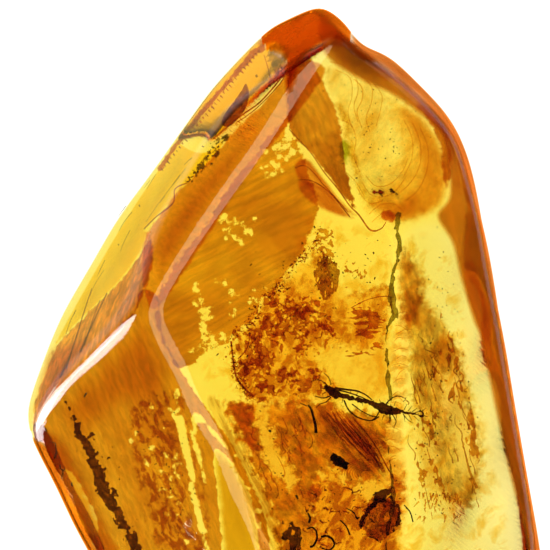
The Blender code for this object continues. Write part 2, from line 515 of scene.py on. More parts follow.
def veil_material(name, tint, deep, feather, grain, ragged=0.0, contrast=(0.3, 0.7), clear=None, fine=None):
    """A stained layer of resin. grain is (scale per mm along x, y, z, turn in degrees). The stain runs from tint to deep
    by the grain, and stops at the layer's edge, which feather softens and ragged breaks up. clear is a level of the
    grain under which the layer is left clear."""
    m, nt, out = material(name)
    at_edge = node(nt, "ShaderNodeAttribute", attribute_name="inset").outputs["Fac"]
    sx, sy, sz, turn = grain
    g = node(nt, "ShaderNodeTexNoise", {"Vector": mapped(nt, (1000 * sx, 1000 * sy, 1000 * sz), (0, 0, math.radians(turn))),
        "Scale": 1.0, "Detail": 4.0, "Roughness": 0.6, "Distortion": 0.4}).outputs["Fac"]
    if ragged:
        r = node(nt, "ShaderNodeTexNoise", {"Vector": mapped(nt, (1000, 1000, 1000)), "Scale": 2.2, "Detail": 4.0, "Roughness": 0.65}).outputs["Fac"]
        off = node(nt, "ShaderNodeMath", {0: r, 1: 0.5}, operation="SUBTRACT").outputs[0]
        off = node(nt, "ShaderNodeMath", {0: off, 1: ragged * 2.0}, operation="MULTIPLY").outputs[0]
        at_edge = node(nt, "ShaderNodeMath", {0: at_edge, 1: off}, operation="ADD").outputs[0]
    amount = node(nt, "ShaderNodeMapRange", {"Value": at_edge, "From Min": -feather * 0.15, "From Max": feather * 0.85},
        interpolation_type="SMOOTHSTEP").outputs["Result"]
    if clear is not None:
        c = node(nt, "ShaderNodeMapRange", {"Value": g, "From Min": clear - 0.012, "From Max": clear + 0.012}).outputs["Result"]
        amount = node(nt, "ShaderNodeMath", {0: amount, 1: c}, operation="MULTIPLY").outputs[0]
    stain = ramp(nt, g, [(contrast[0], root_of(tint)), (contrast[1], root_of(deep))])
    if fine:
        f = node(nt, "ShaderNodeTexNoise", {"Vector": mapped(nt, (1000 * fine[0], 1000 * fine[1], 1000 * fine[0]), (0, 0, math.radians(fine[2]))),
            "Scale": 1.0, "Detail": 2.0, "Roughness": 0.5}).outputs["Fac"]
        dark = ramp(nt, f, [(0.40, (1 - fine[3],) * 3), (0.60, (1.0, 1.0, 1.0))])
        mul = nt.nodes.new("ShaderNodeMix")
        mul.data_type, mul.blend_type = "RGBA", "MULTIPLY"
        mul.inputs[0].default_value = 1.0
        nt.links.new(stain, mul.inputs[6])
        nt.links.new(dark, mul.inputs[7])
        stain = mul.outputs[2]
    colour = mixed(nt, amount, (1.0, 1.0, 1.0), stain)
    sheet = node(nt, "ShaderNodeBsdfTransparent", {"Color": colour})
    nt.links.new(sheet.outputs[0], out.inputs["Surface"])
    return m


def veil(name, outline, depth, mat, holes=(), step=4.0, swell=0.0, margin=6.0, smooth_outline=True, soft=0.0):
    """A thin layer inside the stone under a drawn outline, following the surface at a depth."""
    o = curve(outline, closed=True) if smooth_outline else np.array(outline, float)
    cuts = [curve(h, closed=True, n=4) for h in holes]
    (u0, v0), (u1, v1) = o.min(0) - margin, o.max(0) + margin
    uu, vv = np.meshgrid(np.arange(u0, u1 + step, step), np.arange(v0, v1 + step, step), indexing="ij")
    e = inset(uu, vv, o)
    for c in cuts:
        near = (uu > c[:, 0].min() - 14) & (uu < c[:, 0].max() + 14) & (vv > c[:, 1].min() - 14) & (vv < c[:, 1].max() + 14)
        e[near] = np.minimum(e[near], -inset(uu[near], vv[near], c))
    d = depth + swell * (fbm(np.stack([uu / 60, vv / 60, 0 * uu], -1), 2, depth) - 0.5)
    top, bottom = seen(uu, vv, d), seen(uu, vv, d + 0.05)
    good = (in_stone(top) & in_stone(bottom) if depth > 0 else in_stone(seen(uu, vv, 0.12))) & (e > -margin)
    ids = np.arange(uu.size).reshape(uu.shape)
    cell = good[:-1, :-1] & good[1:, :-1] & good[1:, 1:] & good[:-1, 1:]
    quads = np.stack([ids[:-1, :-1], ids[:-1, 1:], ids[1:, 1:], ids[1:, :-1]], -1)[cell]
    verts, faces, used = closed_slab(top.reshape(-1, 3), bottom.reshape(-1, 3), quads)
    ob = mesh_object(name, verts, faces, mat)
    attribute = ob.data.attributes.new("inset", "FLOAT", "POINT")
    attribute.data.foreach_set("value", np.concatenate([e.ravel()[used]] * 2).astype(np.float32))
    return own(ob)


def surface_nets(f):
    """A closed mesh where the field crosses zero (positive inside), in cell units."""
    f = f.copy()
    for a in range(3):
        s = [slice(None)] * 3
        for end in (0, -1):
            s[a] = end
            f[tuple(s)] = np.minimum(f[tuple(s)], -1e-3)
    nx, ny, nz = f.shape
    offs = [(i, j, k) for i in (0, 1) for j in (0, 1) for k in (0, 1)]
    c = np.stack([f[i:nx - 1 + i, j:ny - 1 + j, k:nz - 1 + k] for i, j, k in offs], -1)
    s = c > 0
    active = s.any(-1) & ~s.all(-1)
    index = -np.ones(active.shape, int)
    index[active] = np.arange(active.sum())
    ca = c[active]
    cells = np.argwhere(active).astype(float)
    total, count = np.zeros((len(ca), 3)), np.zeros(len(ca))
    for a in range(8):
        for b in range(a + 1, 8):
            pa, pb = np.array(offs[a], float), np.array(offs[b], float)
            if np.abs(pa - pb).sum() != 1:
                continue
            cross = (ca[:, a] > 0) != (ca[:, b] > 0)
            t = np.where(cross, ca[:, a] / np.where(cross, ca[:, a] - ca[:, b], 1.0), 0.0)
            total += np.where(cross[:, None], pa + t[:, None] * (pb - pa), 0.0)
            count += cross
    verts = cells + total / count[:, None]
    quads = []
    sign = f > 0
    for a in range(3):
        b, d = (a + 1) % 3, (a + 2) % 3
        lo = [slice(1, -1)] * 3
        hi = [slice(1, -1)] * 3
        lo[a], hi[a] = slice(0, -1), slice(1, None)
        s0, s1 = sign[tuple(lo)], sign[tuple(hi)]
        for flip, pick in ((False, s0 & ~s1), (True, ~s0 & s1)):
            q = np.argwhere(pick)
            if not len(q):
                continue
            base = q.copy()
            base[:, b] += 1
            base[:, d] += 1
            corner = []
            for ob, od in ((0, 0), (-1, 0), (-1, -1), (0, -1)):
                k = base.copy()
                k[:, b] += ob
                k[:, d] += od
                corner.append(index[k[:, 0], k[:, 1], k[:, 2]])
            quad = np.stack(corner, -1)
            quads.append(quad[:, ::-1] if flip else quad)
    return verts, np.concatenate(quads)


def body(name, box, step, field, depth, mat, w_scale=1.0):
    """A closed body from a field in (u, v, w): w grid steps below the given depth."""
    u0, v0, w0, u1, v1, w1 = box
    us, vs, ws = np.arange(u0, u1, step), np.arange(v0, v1, step), np.arange(w0, w1, step * w_scale)
    uu, vv, ww = np.meshgrid(us, vs, ws, indexing="ij")
    verts, quads = surface_nets(field(uu, vv, ww))
    u = u0 + verts[:, 0] * step
    v = v0 + verts[:, 1] * step
    w = w0 + verts[:, 2] * step * w_scale
    d = depth(u, v) if callable(depth) else depth
    return own(mesh_object(name, seen(u, v, d + w * GRID), quads, mat))


def tubes(name, strokes, mat, sides=8, smooth_n=5):
    """Closed strands. A stroke is ([(u, v, depth, radius in grid steps), ...])."""
    verts, faces, base = [], [], 0
    for stroke in strokes:
        p = curve(stroke, n=smooth_n)
        centre = seen(p[:, 0], p[:, 1], p[:, 2])
        radius = np.maximum(p[:, 3], 0.05) * GRID
        t = np.gradient(centre, axis=0)
        t /= np.linalg.norm(t, axis=1)[:, None] + 1e-12
        ref = np.array((0.13, 0.21, 1.0))
        a = np.cross(t, ref)
        a /= np.linalg.norm(a, axis=1)[:, None]
        b = np.cross(t, a)
        ang = np.linspace(0, 2 * math.pi, sides, endpoint=False)
        ring = centre[:, None] + radius[:, None, None] * (np.cos(ang)[None, :, None] * a[:, None] + np.sin(ang)[None, :, None] * b[:, None])
        n = len(p)
        verts.append(ring.reshape(-1, 3))
        for k in range(n - 1):
            for s in range(sides):
                faces.append((base + k * sides + s, base + k * sides + (s + 1) % sides, base + (k + 1) * sides + (s + 1) % sides, base + (k + 1) * sides + s))
        faces.append(tuple(base + s for s in range(sides))[::-1])
        faces.append(tuple(base + (n - 1) * sides + s for s in range(sides)))
        base += n * sides
    return own(mesh_object(name, np.concatenate(verts), faces, mat))


def rim_shade_material(name, tint, glow, share, feather, grain, contrast=(0.35, 0.65)):
    """A painted-shade layer inside the resin for its darker, redder rims: part of the light goes through stained, the
    rest is scattered.
    """
    m, nt, out = material(name)
    at_edge = node(nt, "ShaderNodeAttribute", attribute_name="inset").outputs["Fac"]
    sx, sy, sz, turn = grain
    g = node(nt, "ShaderNodeTexNoise", {"Vector": mapped(nt, (1000 * sx, 1000 * sy, 1000 * sz), (0, 0, math.radians(turn))),
        "Scale": 1.0, "Detail": 4.0, "Roughness": 0.55, "Distortion": 0.5}).outputs["Fac"]
    amount = node(nt, "ShaderNodeMapRange", {"Value": at_edge, "From Min": -feather * 0.15, "From Max": feather * 0.85},
        interpolation_type="SMOOTHSTEP").outputs["Result"]
    through = mixed(nt, amount, (1.0, 1.0, 1.0), root_of(tint))
    clear = node(nt, "ShaderNodeBsdfTransparent", {"Color": through})
    shade = ramp(nt, g, [(contrast[0], glow), (contrast[1], tuple(x * 0.72 for x in glow))])
    scatter = node(nt, "ShaderNodeBsdfTranslucent", {"Color": shade})
    part = node(nt, "ShaderNodeMath", {0: amount, 1: share}, operation="MULTIPLY").outputs[0]
    mix = node(nt, "ShaderNodeMixShader", {0: part, 1: clear.outputs[0], 2: scatter.outputs[0]})
    nt.links.new(mix.outputs[0], out.inputs["Surface"])
    return m


# ------------------------------------------------------------------ layers of darker resin, and painted shade along the rims
SHEET = 4.0

def grains(path, count, spread, size, salt):
    """Small ragged windows strewn along a line."""
    rng = np.random.default_rng(salt)
    line = curve(path)
    out = []
    for _ in range(count):
        c = line[rng.integers(len(line))] + rng.normal(size=2) * spread
        r, turn, flat = size * (0.5 + 0.9 * rng.random()), rng.random() * 6.28, 0.45 + 0.5 * rng.random()
        pts = []
        for k in range(6):
            a, rr = k * 1.047, r * (0.6 + 0.7 * rng.random())
            x, y = rr * math.cos(a), rr * flat * math.sin(a)
            pts.append((c[0] + x * math.cos(turn) - y * math.sin(turn), c[1] + x * math.sin(turn) + y * math.cos(turn)))
        out.append(pts)
    return out


SPECKLE = grains([(195, 286), (199, 298), (203, 310), (206, 320), (205, 332), (203, 344)], 34, 2.4, 1.9, 5) \
    + grains([(268, 170), (276, 158), (284, 146), (292, 132)], 44, 6.0, 1.8, 6) + grains([(224, 216), (236, 226), (248, 238)], 26, 8.0, 1.1, 7) \
    + grains([(210, 286), (222, 300), (240, 306), (262, 286)], 14, 9.0, 1.0, 8) + grains([(196, 350), (208, 344), (222, 338)], 20, 3.4, 1.5, 9)
GRAINS_B = grains([(150, 420), (160, 450), (172, 490), (186, 530)], 40, 11.0, 1.8, 10) + grains([(176, 389), (178, 402), (178, 415)], 9, 0.7, 2.0, 11) \
    + grains([(236, 452), (250, 490), (262, 530)], 10, 6.0, 2.0, 12)
CORNER_WINDOW = [(60, 470), (74, 476), (88, 500), (98, 524), (94, 536), (80, 522), (66, 496)]
YELLOW = [(20, 430), (60, 340), (120, 235), (180, 150), (250, 60), (300, 14), (345, 20), (420, 90), (455, 150), (470, 235), (430, 232), (408, 238), (400, 260), (404, 330),
    (404, 380), (402, 440), (400, 500), (396, 560), (390, 640), (370, 740), (200, 735), (120, 580), (40, 470)]
veil("yellow_flow", YELLOW, 0.90, veil_material("yellow_flow", (1.0, 0.95, 0.66), (0.99, 0.87, 0.50), 26.0, (0.5, 0.2, 0.3, -30)), step=SHEET + 2, margin=12)

UPPER_LEFT = [(142, 286), (144, 240), (160, 214), (180, 188), (206, 163), (232, 133), (262, 103), (284, 76), (300, 60), (326, 70), (296, 116), (246, 178), (207, 238), (181, 278),
    (164, 302), (152, 310)]
m = veil_material("upper_left_flow", (0.84, 0.42, 0.05), (0.74, 0.32, 0.03), 3.0, (0.7, 0.2, 0.5, 36), ragged=3.0, fine=(4.0, 1.0, 126, 0.06))
veil("upper_left_flow", UPPER_LEFT, 0.32, m, step=SHEET)
DARK_D = [(150, 262), (152, 236), (166, 210), (186, 186), (212, 160), (240, 140), (256, 140), (238, 172), (204, 225), (180, 262), (160, 285)]
m = veil_material("upper_left_core", (0.70, 0.42, 0.02), (0.60, 0.32, 0.01), 30.0, (1.2, 0.3, 0.6, -38))
veil("upper_left_core", DARK_D, 0.52, m, step=SHEET, margin=10)

TABLE_LEFT = [(157, 300), (172, 268), (198, 235), (237, 176), (288, 116), (289, 128), (300, 150), (312, 180), (318, 205), (312, 228), (306, 245), (298, 262), (284, 274), (277, 291), (262, 300),
    (256, 317), (245, 325), (232, 336), (229, 341), (206, 354), (181, 370), (168, 352), (157, 330)]
m = veil_material("table_left_flow", (0.82, 0.44, 0.05), (0.60, 0.24, 0.02), 2.2, (0.20, 0.16, 0.3, 25), ragged=9.0, contrast=(0.38, 0.60), fine=(3.4, 0.45, 62, 0.10))
veil("table_left_flow", TABLE_LEFT, 0.40, m, holes=SPECKLE, step=2.0)

LOWER_LEFT = [(28, 470), (36, 432), (57, 393), (97, 348), (131, 314), (142, 288), (158, 298), (164, 335), (182, 372), (204, 405), (232, 443), (252, 485), (266, 520), (272, 560),
    (280, 640), (270, 735), (200, 735), (110, 600), (60, 520)]
SLIVER_1 = [(169, 408), (173, 411), (175, 417), (182, 416.5), (185, 428), (190, 452), (195.5, 479), (193, 481), (190.5, 480), (186, 462), (180, 440), (175, 421), (172, 415)]
SLIVER_2 = [(189, 484), (193, 483.5), (197, 498), (201, 516), (206, 532), (203, 534), (200, 532), (195, 512), (191, 497)]
SLIVER_3 = [(191.5, 416), (195, 413.5), (199, 414.5), (204, 419), (207, 424), (202, 422.5), (197, 423), (196.5, 428), (195, 433), (193.5, 428)]
SLIVER_4 = [(191, 432), (193, 433), (196, 441), (200, 455), (205.5, 480), (204, 481), (199, 462), (194, 446)]
SLIVER_5 = [(204, 421), (207, 423), (216, 433), (227, 446), (226, 447.5), (213, 435)]
SLIVER_6 = [(201, 533), (204, 534), (210, 556), (207, 557)]
m = veil_material("lower_left_flow", (0.80, 0.44, 0.06), (0.62, 0.26, 0.02), 1.6, (0.55, 0.14, 0.3, -21), ragged=4.0, contrast=(0.36, 0.62), fine=(4.0, 1.2, -21, 0.08))
veil("lower_left_flow", LOWER_LEFT, 0.36, m, holes=[SLIVER_1, SLIVER_2, SLIVER_3, SLIVER_4, SLIVER_5, SLIVER_6, CORNER_WINDOW, [(214, 452), (226, 456), (240, 476), (252, 504), (258, 540), (262, 600), (228, 600), (222, 540), (218, 500)]] + GRAINS_B, step=2.2)
LEFT_MIDDLE = [(60, 408), (100, 362), (140, 322), (160, 345), (172, 372), (160, 400), (120, 410), (90, 440)]
m = veil_material("lower_left_core", (0.86, 0.62, 0.2), (0.78, 0.52, 0.1), 26.0, (0.6, 0.3, 0.4, 20))
veil("lower_left_core", LEFT_MIDDLE, 0.62, m, step=SHEET, margin=10)
# painted shade: the deep orange of the lower left corner, which long paths and internal reflection give, as a tinted
# and scattering layer
RED_CORNER = [(30, 445), (40, 430), (55, 432), (78, 455), (96, 492), (118, 540), (140, 600), (110, 600), (70, 540), (40, 485)]
m = rim_shade_material("corner_painted_shade", (1.0, 0.84, 0.50), (0.99, 0.78, 0.42), 0.22, 12.0, (0.5, 0.3, 0.4, 20))
veil("corner_painted_shade", RED_CORNER, 0.20, m, step=SHEET, margin=8)

# painted shade: the orange-brown band down the right side, which the steep side facet shows by internal reflection, as
# a tinted and scattering layer
RIGHT_SHADE_BAND = [(338, 12), (362, 30), (398, 66), (428, 92), (456, 130), (480, 205), (500, 300), (520, 420), (540, 545), (560, 640), (552, 690), (530, 640), (527, 550), (510, 480), (492, 400),
    (480, 340), (472, 321), (459, 277), (451, 244), (436, 216), (448, 196), (446, 160), (440, 135), (420, 116), (392, 96), (362, 82), (330, 62), (318, 40), (320, 18)]
m = rim_shade_material("right_painted_shade", (0.96, 0.50, 0.08), (0.98, 0.50, 0.07), 0.50, 7.0, (0.9, 0.14, 0.4, -15))
veil("right_painted_shade", RIGHT_SHADE_BAND, 0.22, m, step=3.0)
# painted shade: a redder strip in the right side's band
RIGHT_RED_SHADE_BAND = [(462, 262), (474, 262), (486, 300), (492, 340), (484, 344), (474, 318), (466, 296)]
m = veil_material("right_painted_shade_red", (0.86, 0.62, 0.5), (0.80, 0.50, 0.3), 5.0, (0.9, 0.3, 0.4, 8))
veil("right_painted_shade_red", RIGHT_RED_SHADE_BAND, 0.34, m, step=SHEET)

# painted shade: the red-orange rim of the tip, which long paths and internal reflection give, as a tinted and
# scattering layer
TIP_SHADE_BAND = [(286, 14), (320, 10), (352, 28), (362, 44), (350, 48), (338, 40), (322, 44), (306, 56), (296, 70), (290, 92), (288, 126), (284, 84), (286, 62), (276, 44), (262, 48), (258, 40)]
m = rim_shade_material("tip_painted_shade", (0.96, 0.40, 0.05), (0.95, 0.30, 0.02), 0.35, 6.0, (0.6, 0.6, 0.6, 0))
veil("tip_painted_shade", TIP_SHADE_BAND, 0.18, m, step=3.0, margin=8)

ORANGE_FACET = [(288.5, 70), (300, 54), (310, 56), (324, 84), (334, 104), (341, 126), (347, 170), (354, 200), (358, 214), (338, 189), (311, 154), (289, 128)]
m = veil_material("orange_facet", (0.76, 0.38, 0.06), (0.46, 0.15, 0.01), 2.4, (0.35, 0.30, 0.5, 20), ragged=5.0, contrast=(0.38, 0.60), fine=(4.0, 1.0, -20, 0.10))
veil("orange_facet", ORANGE_FACET, 0.46, m, step=3.0)

LENS = [(297, 180), (312, 182), (330, 192), (348, 212), (356, 219), (340, 217), (318, 208), (302, 196)]
FOLDS = [(293, 166), (300, 158), (310, 160), (320, 172), (340, 198), (358, 216), (345, 212), (322, 192), (300, 182)]
m = veil_material("brown_lens", (0.74, 0.36, 0.10), (0.60, 0.20, 0.03), 5.0, (1.4, 0.3, 0.5, -42), ragged=1.2, contrast=(0.4, 0.6))
veil("brown_lens", LENS, 0.70, m, step=3.0)
veil("red_folds", FOLDS, 0.86, m, step=3.0)

BOWL = [(341, 126), (330, 100), (322, 68), (345, 64), (376, 76), (404, 96), (428, 116), (446, 150), (448, 184), (436, 212), (408, 226), (380, 222), (362, 206), (352, 180)]
m = veil_material("shell_bowl", (1.0, 0.95, 0.74), (0.80, 0.50, 0.12), 14.0, (0.55, 0.30, 0.5, 30), ragged=10.0, contrast=(0.42, 0.68), fine=(4.2, 3.0, 20, 0.04))
veil("shell_bowl", BOWL, 0.60, m, step=SHEET, margin=8)
BOWL_EDGE = [(398, 108), (424, 116), (446, 152), (449, 190), (434, 214), (404, 222), (380, 214), (366, 206), (380, 200), (404, 196), (418, 176), (414, 146)]
SHADE = [(334, 104), (342, 126), (346, 150), (352, 176), (362, 200), (378, 212), (372, 196), (362, 176), (358, 150), (352, 124), (346, 108)]
veil("shell_shade", SHADE, 0.74, veil_material("shell_shade", (0.84, 0.62, 0.14), (0.66, 0.42, 0.06), 9.0, (0.8, 0.5, 0.5, 20), ragged=8.0), step=SHEET)
m = veil_material("shell_rim", (0.88, 0.62, 0.26), (0.76, 0.46, 0.14), 12.0, (1.2, 0.4, 0.5, 15), ragged=0.6)
veil("shell_rim", BOWL_EDGE, 0.78, m, step=SHEET, margin=6)

SIDE_UPPER = [(144, 230), (157, 216), (173, 200), (187, 183), (213, 162), (228, 137), (259, 103), (284, 74), (286, 40), (250, 56), (205, 108), (165, 160), (130, 212), (100, 262), (75, 306), (52, 348),
    (50, 352), (75, 325), (120, 280), (150, 236)]
m = veil_material("side_flow", (0.98, 0.76, 0.08), (0.93, 0.66, 0.04), 2.0, (0.5, 0.5, 0.5, 0))
UPPER_WINDOW = [(172, 128), (184, 146), (206, 152), (230, 132), (262, 103), (284, 78), (290, 30), (240, 40), (186, 100)]
veil("side_flow", SIDE_UPPER, 0.22, m, holes=[UPPER_WINDOW], step=3.0)
SIDE_LOWER = [(151, 236), (153, 262), (147, 286), (134, 316), (100, 350), (60, 394), (36, 428), (34, 405), (44, 375), (56, 346), (76, 324), (120, 280), (142, 250)]
m = veil_material("side_brown", (0.92, 0.46, 0.10), (0.62, 0.25, 0.04), 2.6, (1.2, 0.30, 0.5, 18), ragged=4.0, contrast=(0.36, 0.64), fine=(4.5, 1.6, 18, 0.18))
veil("side_brown", SIDE_LOWER, 0.26, m, step=3.0)


# --- flow layers over the middle: mottled, with bright windows left between
MIDDLE = [(262, 300), (284, 274), (300, 262), (318, 250), (332, 266), (338, 290), (352, 298), (356, 288), (392, 284), (392, 312), (386, 342), (372, 352), (350, 350), (330, 348), (316, 356), (330, 372), (344, 388),
    (330, 400), (300, 402), (276, 404), (256, 404), (238, 390), (236, 370), (232, 338), (256, 318)]
m = veil_material("middle_stain", (0.99, 0.84, 0.46), (0.62, 0.30, 0.03), 9.0, (1.5, 1.2, 0.6, 20), ragged=16.0, contrast=(0.42, 0.60))
veil("middle_stain", MIDDLE, 0.75, m, step=SHEET, margin=8)
ORANGE = [(222, 404), (232, 398), (256, 400), (276, 404), (300, 398), (330, 400), (345, 410), (380, 408), (392, 420), (386, 450), (378, 480), (350, 486), (330, 470), (322, 490), (318, 520), (330, 560), (320, 640),
    (285, 640), (276, 560), (270, 520), (258, 484), (240, 446)]
WEDGE = [(256, 403), (262, 408), (266, 420), (270, 438), (281, 458), (294, 478), (292, 484), (280, 476), (268, 462), (262, 446), (259, 428)]
m = veil_material("orange_flow", (0.95, 0.60, 0.14), (0.60, 0.24, 0.02), 9.0, (1.0, 0.6, 0.6, -38), ragged=22.0, contrast=(0.38, 0.60), fine=(3.0, 1.8, -38, 0.22))
veil("orange_flow", ORANGE, 0.62, m, holes=[WEDGE], step=3.0, margin=8)
RED_ZONE = [(222, 404), (240, 400), (254, 404), (256, 425), (262, 450), (250, 448), (234, 430)]
m = veil_material("red_flow", (0.94, 0.60, 0.2), (0.68, 0.30, 0.06), 8.0, (1.6, 1.2, 1.0, 0), ragged=14.0)
veil("red_flow", RED_ZONE, 0.84, m, step=SHEET)
FAN = [(316, 404), (330, 412), (350, 420), (378, 428), (392, 440), (386, 480), (372, 478), (352, 470), (336, 450), (322, 428)]
m = veil_material("fan_flow", (1.0, 0.92, 0.66), (0.72, 0.42, 0.09), 10.0, (1.8, 0.22, 0.8, 138), ragged=8.0, contrast=(0.42, 0.58), fine=(5.0, 0.5, 138, 0.25))
veil("fan_flow", FAN, 0.95, m, step=3.0)
LOW_MIDDLE = [(314, 474), (350, 484), (384, 476), (402, 470), (406, 500), (404, 530), (402, 580), (400, 640), (340, 640), (318, 560), (308, 510)]
m = veil_material("low_stain", (0.96, 0.70, 0.24), (0.52, 0.21, 0.02), 8.0, (1.8, 1.1, 0.8, 30), ragged=14.0, contrast=(0.44, 0.56))
veil("low_stain", LOW_MIDDLE, 0.70, m, holes=[[(354, 474), (366, 470), (386, 474), (388, 492), (370, 498), (354, 490)]], step=SHEET, margin=8)
RIGHT_COLUMN = [(398, 250), (410, 250), (424, 270), (428, 300), (444, 320), (462, 350), (470, 380), (480, 420), (484, 470), (478, 496), (468, 512), (450, 504), (440, 490), (432, 450), (420, 430), (410, 400), (408, 350), (400, 312)]
m = veil_material("right_flow", (1.0, 0.86, 0.50), (0.66, 0.36, 0.07), 10.0, (0.9, 0.42, 0.5, -15), ragged=14.0, contrast=(0.40, 0.62), fine=(3.2, 1.6, -15, 0.18))
veil("right_flow", RIGHT_COLUMN, 0.66, m, holes=[[(446, 380), (454, 376), (462, 396), (470, 430), (474, 470), (466, 480), (456, 440), (448, 410)]], step=SHEET, margin=8)
GRANULAR_B = [(132, 400), (150, 392), (170, 386), (190, 400), (200, 430), (206, 470), (210, 520), (214, 570), (180, 590), (160, 560), (146, 520), (134, 470), (128, 430)]
m = veil_material("granular_left", (1.0, 0.95, 0.8), (0.56, 0.26, 0.04), 12.0, (2.2, 1.3, 1.5, -21), ragged=14.0, contrast=(0.46, 0.56))
veil("granular_left", GRANULAR_B, 0.56, m, holes=[SLIVER_1, SLIVER_2, SLIVER_3, SLIVER_4], step=3.0, margin=8)
RIBS = [(400, 312), (412, 312), (414, 340), (410, 362), (408, 400), (404, 412), (406, 450), (410, 500), (406, 516), (388, 514), (382, 470), (380, 430), (386, 408), (392, 390), (388, 362), (394, 330)]
m, nt, out = material("ribbed_crack")
at_edge = node(nt, "ShaderNodeAttribute", attribute_name="inset").outputs["Fac"]
wave = node(nt, "ShaderNodeTexWave", {"Vector": mapped(nt, (1000, 1000, 1000)), "Scale": 0.42, "Distortion": 7.0, "Detail": 3.0, "Detail Scale": 2.6}, bands_direction="Y")
edge = node(nt, "ShaderNodeMapRange", {"Value": at_edge, "From Min": 0.0, "From Max": 5.0}).outputs["Result"]
shade = ramp(nt, wave.outputs["Fac"], [(0.15, root_of((0.82, 0.58, 0.34))), (0.5, root_of((0.94, 0.70, 0.44))), (0.8, (1.0, 0.96, 0.92))])
nt.links.new(node(nt, "ShaderNodeBsdfTransparent", {"Color": mixed(nt, edge, (1.0, 1.0, 1.0), shade)}).outputs[0], out.inputs["Surface"])
veil("ribbed_crack", RIBS, 1.05, m, step=3.0)

# --- darker and redder places along the edges
m = veil_material("side_flow_low", (0.74, 0.80, 0.42), (0.66, 0.70, 0.30), 34.0, (0.6, 0.3, 0.4, -38))
veil("side_flow_low", [(176, 150), (190, 172), (160, 220), (120, 286), (70, 336), (48, 356), (56, 330), (90, 276), (130, 210)], 0.34, m, step=SHEET, margin=12)
m = veil_material("side_dark_corner", (0.80, 0.46, 0.16), (0.60, 0.30, 0.08), 14.0, (1.0, 0.5, 0.5, -38))
veil("side_dark_corner", [(46, 352), (76, 338), (92, 342), (70, 376), (44, 412), (34, 420), (36, 386)], 0.36, m, step=SHEET, margin=6)
m = veil_material("right_dark_edge", (0.66, 0.26, 0.02), (0.52, 0.18, 0.01), 4.0, (0.8, 0.3, 0.5, 10), ragged=5.0)
veil("right_dark_edge", [(416, 104), (430, 108), (448, 132), (453, 164), (448, 190), (442, 176), (440, 150), (430, 126)], 0.40, m, step=3.0)
m = veil_material("shoulder_shade", (0.70, 0.52, 0.3), (0.46, 0.34, 0.2), 9.0, (1.0, 0.5, 0.5, 30), ragged=6.0)
veil("shoulder_shade", [(328, 40), (342, 36), (362, 48), (384, 66), (392, 80), (374, 80), (350, 70), (334, 58)], 0.44, m, step=3.0)
m = veil_material("olive_patch", (0.62, 0.52, 0.10), (0.30, 0.26, 0.03), 4.0, (3.0, 3.0, 2.0, 0), ragged=10.0, contrast=(0.40, 0.60))
veil("olive_patch", [(268, 46), (280, 42), (291, 48), (288, 60), (278, 74), (270, 70), (268, 58)], 0.5, m, step=2.0)
m = veil_material("green_spot", (0.50, 0.56, 0.06), (0.36, 0.40, 0.04), 6.0, (2.0, 1.0, 1.0, 10), ragged=6.0)
veil("green_spot", [(340, 140), (348, 142), (352, 152), (348, 164), (341, 162), (338, 150)], 0.9, m, step=2.0)
m = veil_material("red_spot", (0.70, 0.24, 0.04), (0.50, 0.12, 0.01), 4.0, (2.0, 2.0, 1.0, 10), ragged=6.0)
veil("red_spot", [(380, 212), (390, 208), (398, 214), (392, 222), (382, 220)], 0.9, m, step=2.0)
m = veil_material("brown_lobe", (0.88, 0.58, 0.24), (0.62, 0.32, 0.08), 10.0, (1.4, 0.8, 0.8, 20), ragged=8.0)
veil("brown_lobe", [(398, 250), (410, 256), (424, 280), (424, 306), (412, 330), (400, 320), (397, 290)], 0.8, m, step=3.0)

# --- a thin tinted layer on the outside of the tip and the steep rims; on the tip, the right rim and the lower left corner it is painted shade, the darker and redder rims that long paths and internal reflection give
def skin(name, outline, steep, tint, deep, feather, lift=0.05, thick=0.025, grain=(0.7, 0.4, 0.7, 15), contrast=(0.3, 0.7)):
    """A thin tinted layer that follows the stone's own surface just outside it, over the part under the outline that is
    steeper than a limit (as the upright share of the surface normal)."""
    p = np.array(points, float)
    n = np.empty(len(stone.data.vertices) * 3)
    stone.data.vertices.foreach_get("normal", n)
    n = n.reshape(-1, 3)
    k = (SCALE_Z + EYE - p[:, 2]) / EYE
    ex, ey = grid_point(275.0, 275.0)
    gx, gy = ex + (p[:, 0] + SHIFT[0] - ex) / k, ey + (p[:, 1] + SHIFT[1] - ey) / k
    u, v = MID_X + gx / GRID, MID_Y - gy / GRID
    e = inset(u[:, None], v[:, None], curve(outline, closed=True))[:, 0]
    e = np.minimum(np.minimum(e, (steep - n[:, 2]) * 60.0), np.minimum((p[:, 2] - 0.9) * 12.0, (n[:, 2] + 0.45) * 40.0))
    quads = faces[(e[faces] > -1.5).all(axis=1)]
    verts, sides, used = closed_slab(p + n * lift, p + n * (lift - thick), quads)
    mat = veil_material(name, tint, deep, feather, grain, contrast=contrast)
    ob = mesh_object(name, verts, sides, mat)
    attribute = ob.data.attributes.new("inset", "FLOAT", "POINT")
    attribute.data.foreach_set("value", np.concatenate([e[used]] * 2).astype(np.float32))
    return own(ob)


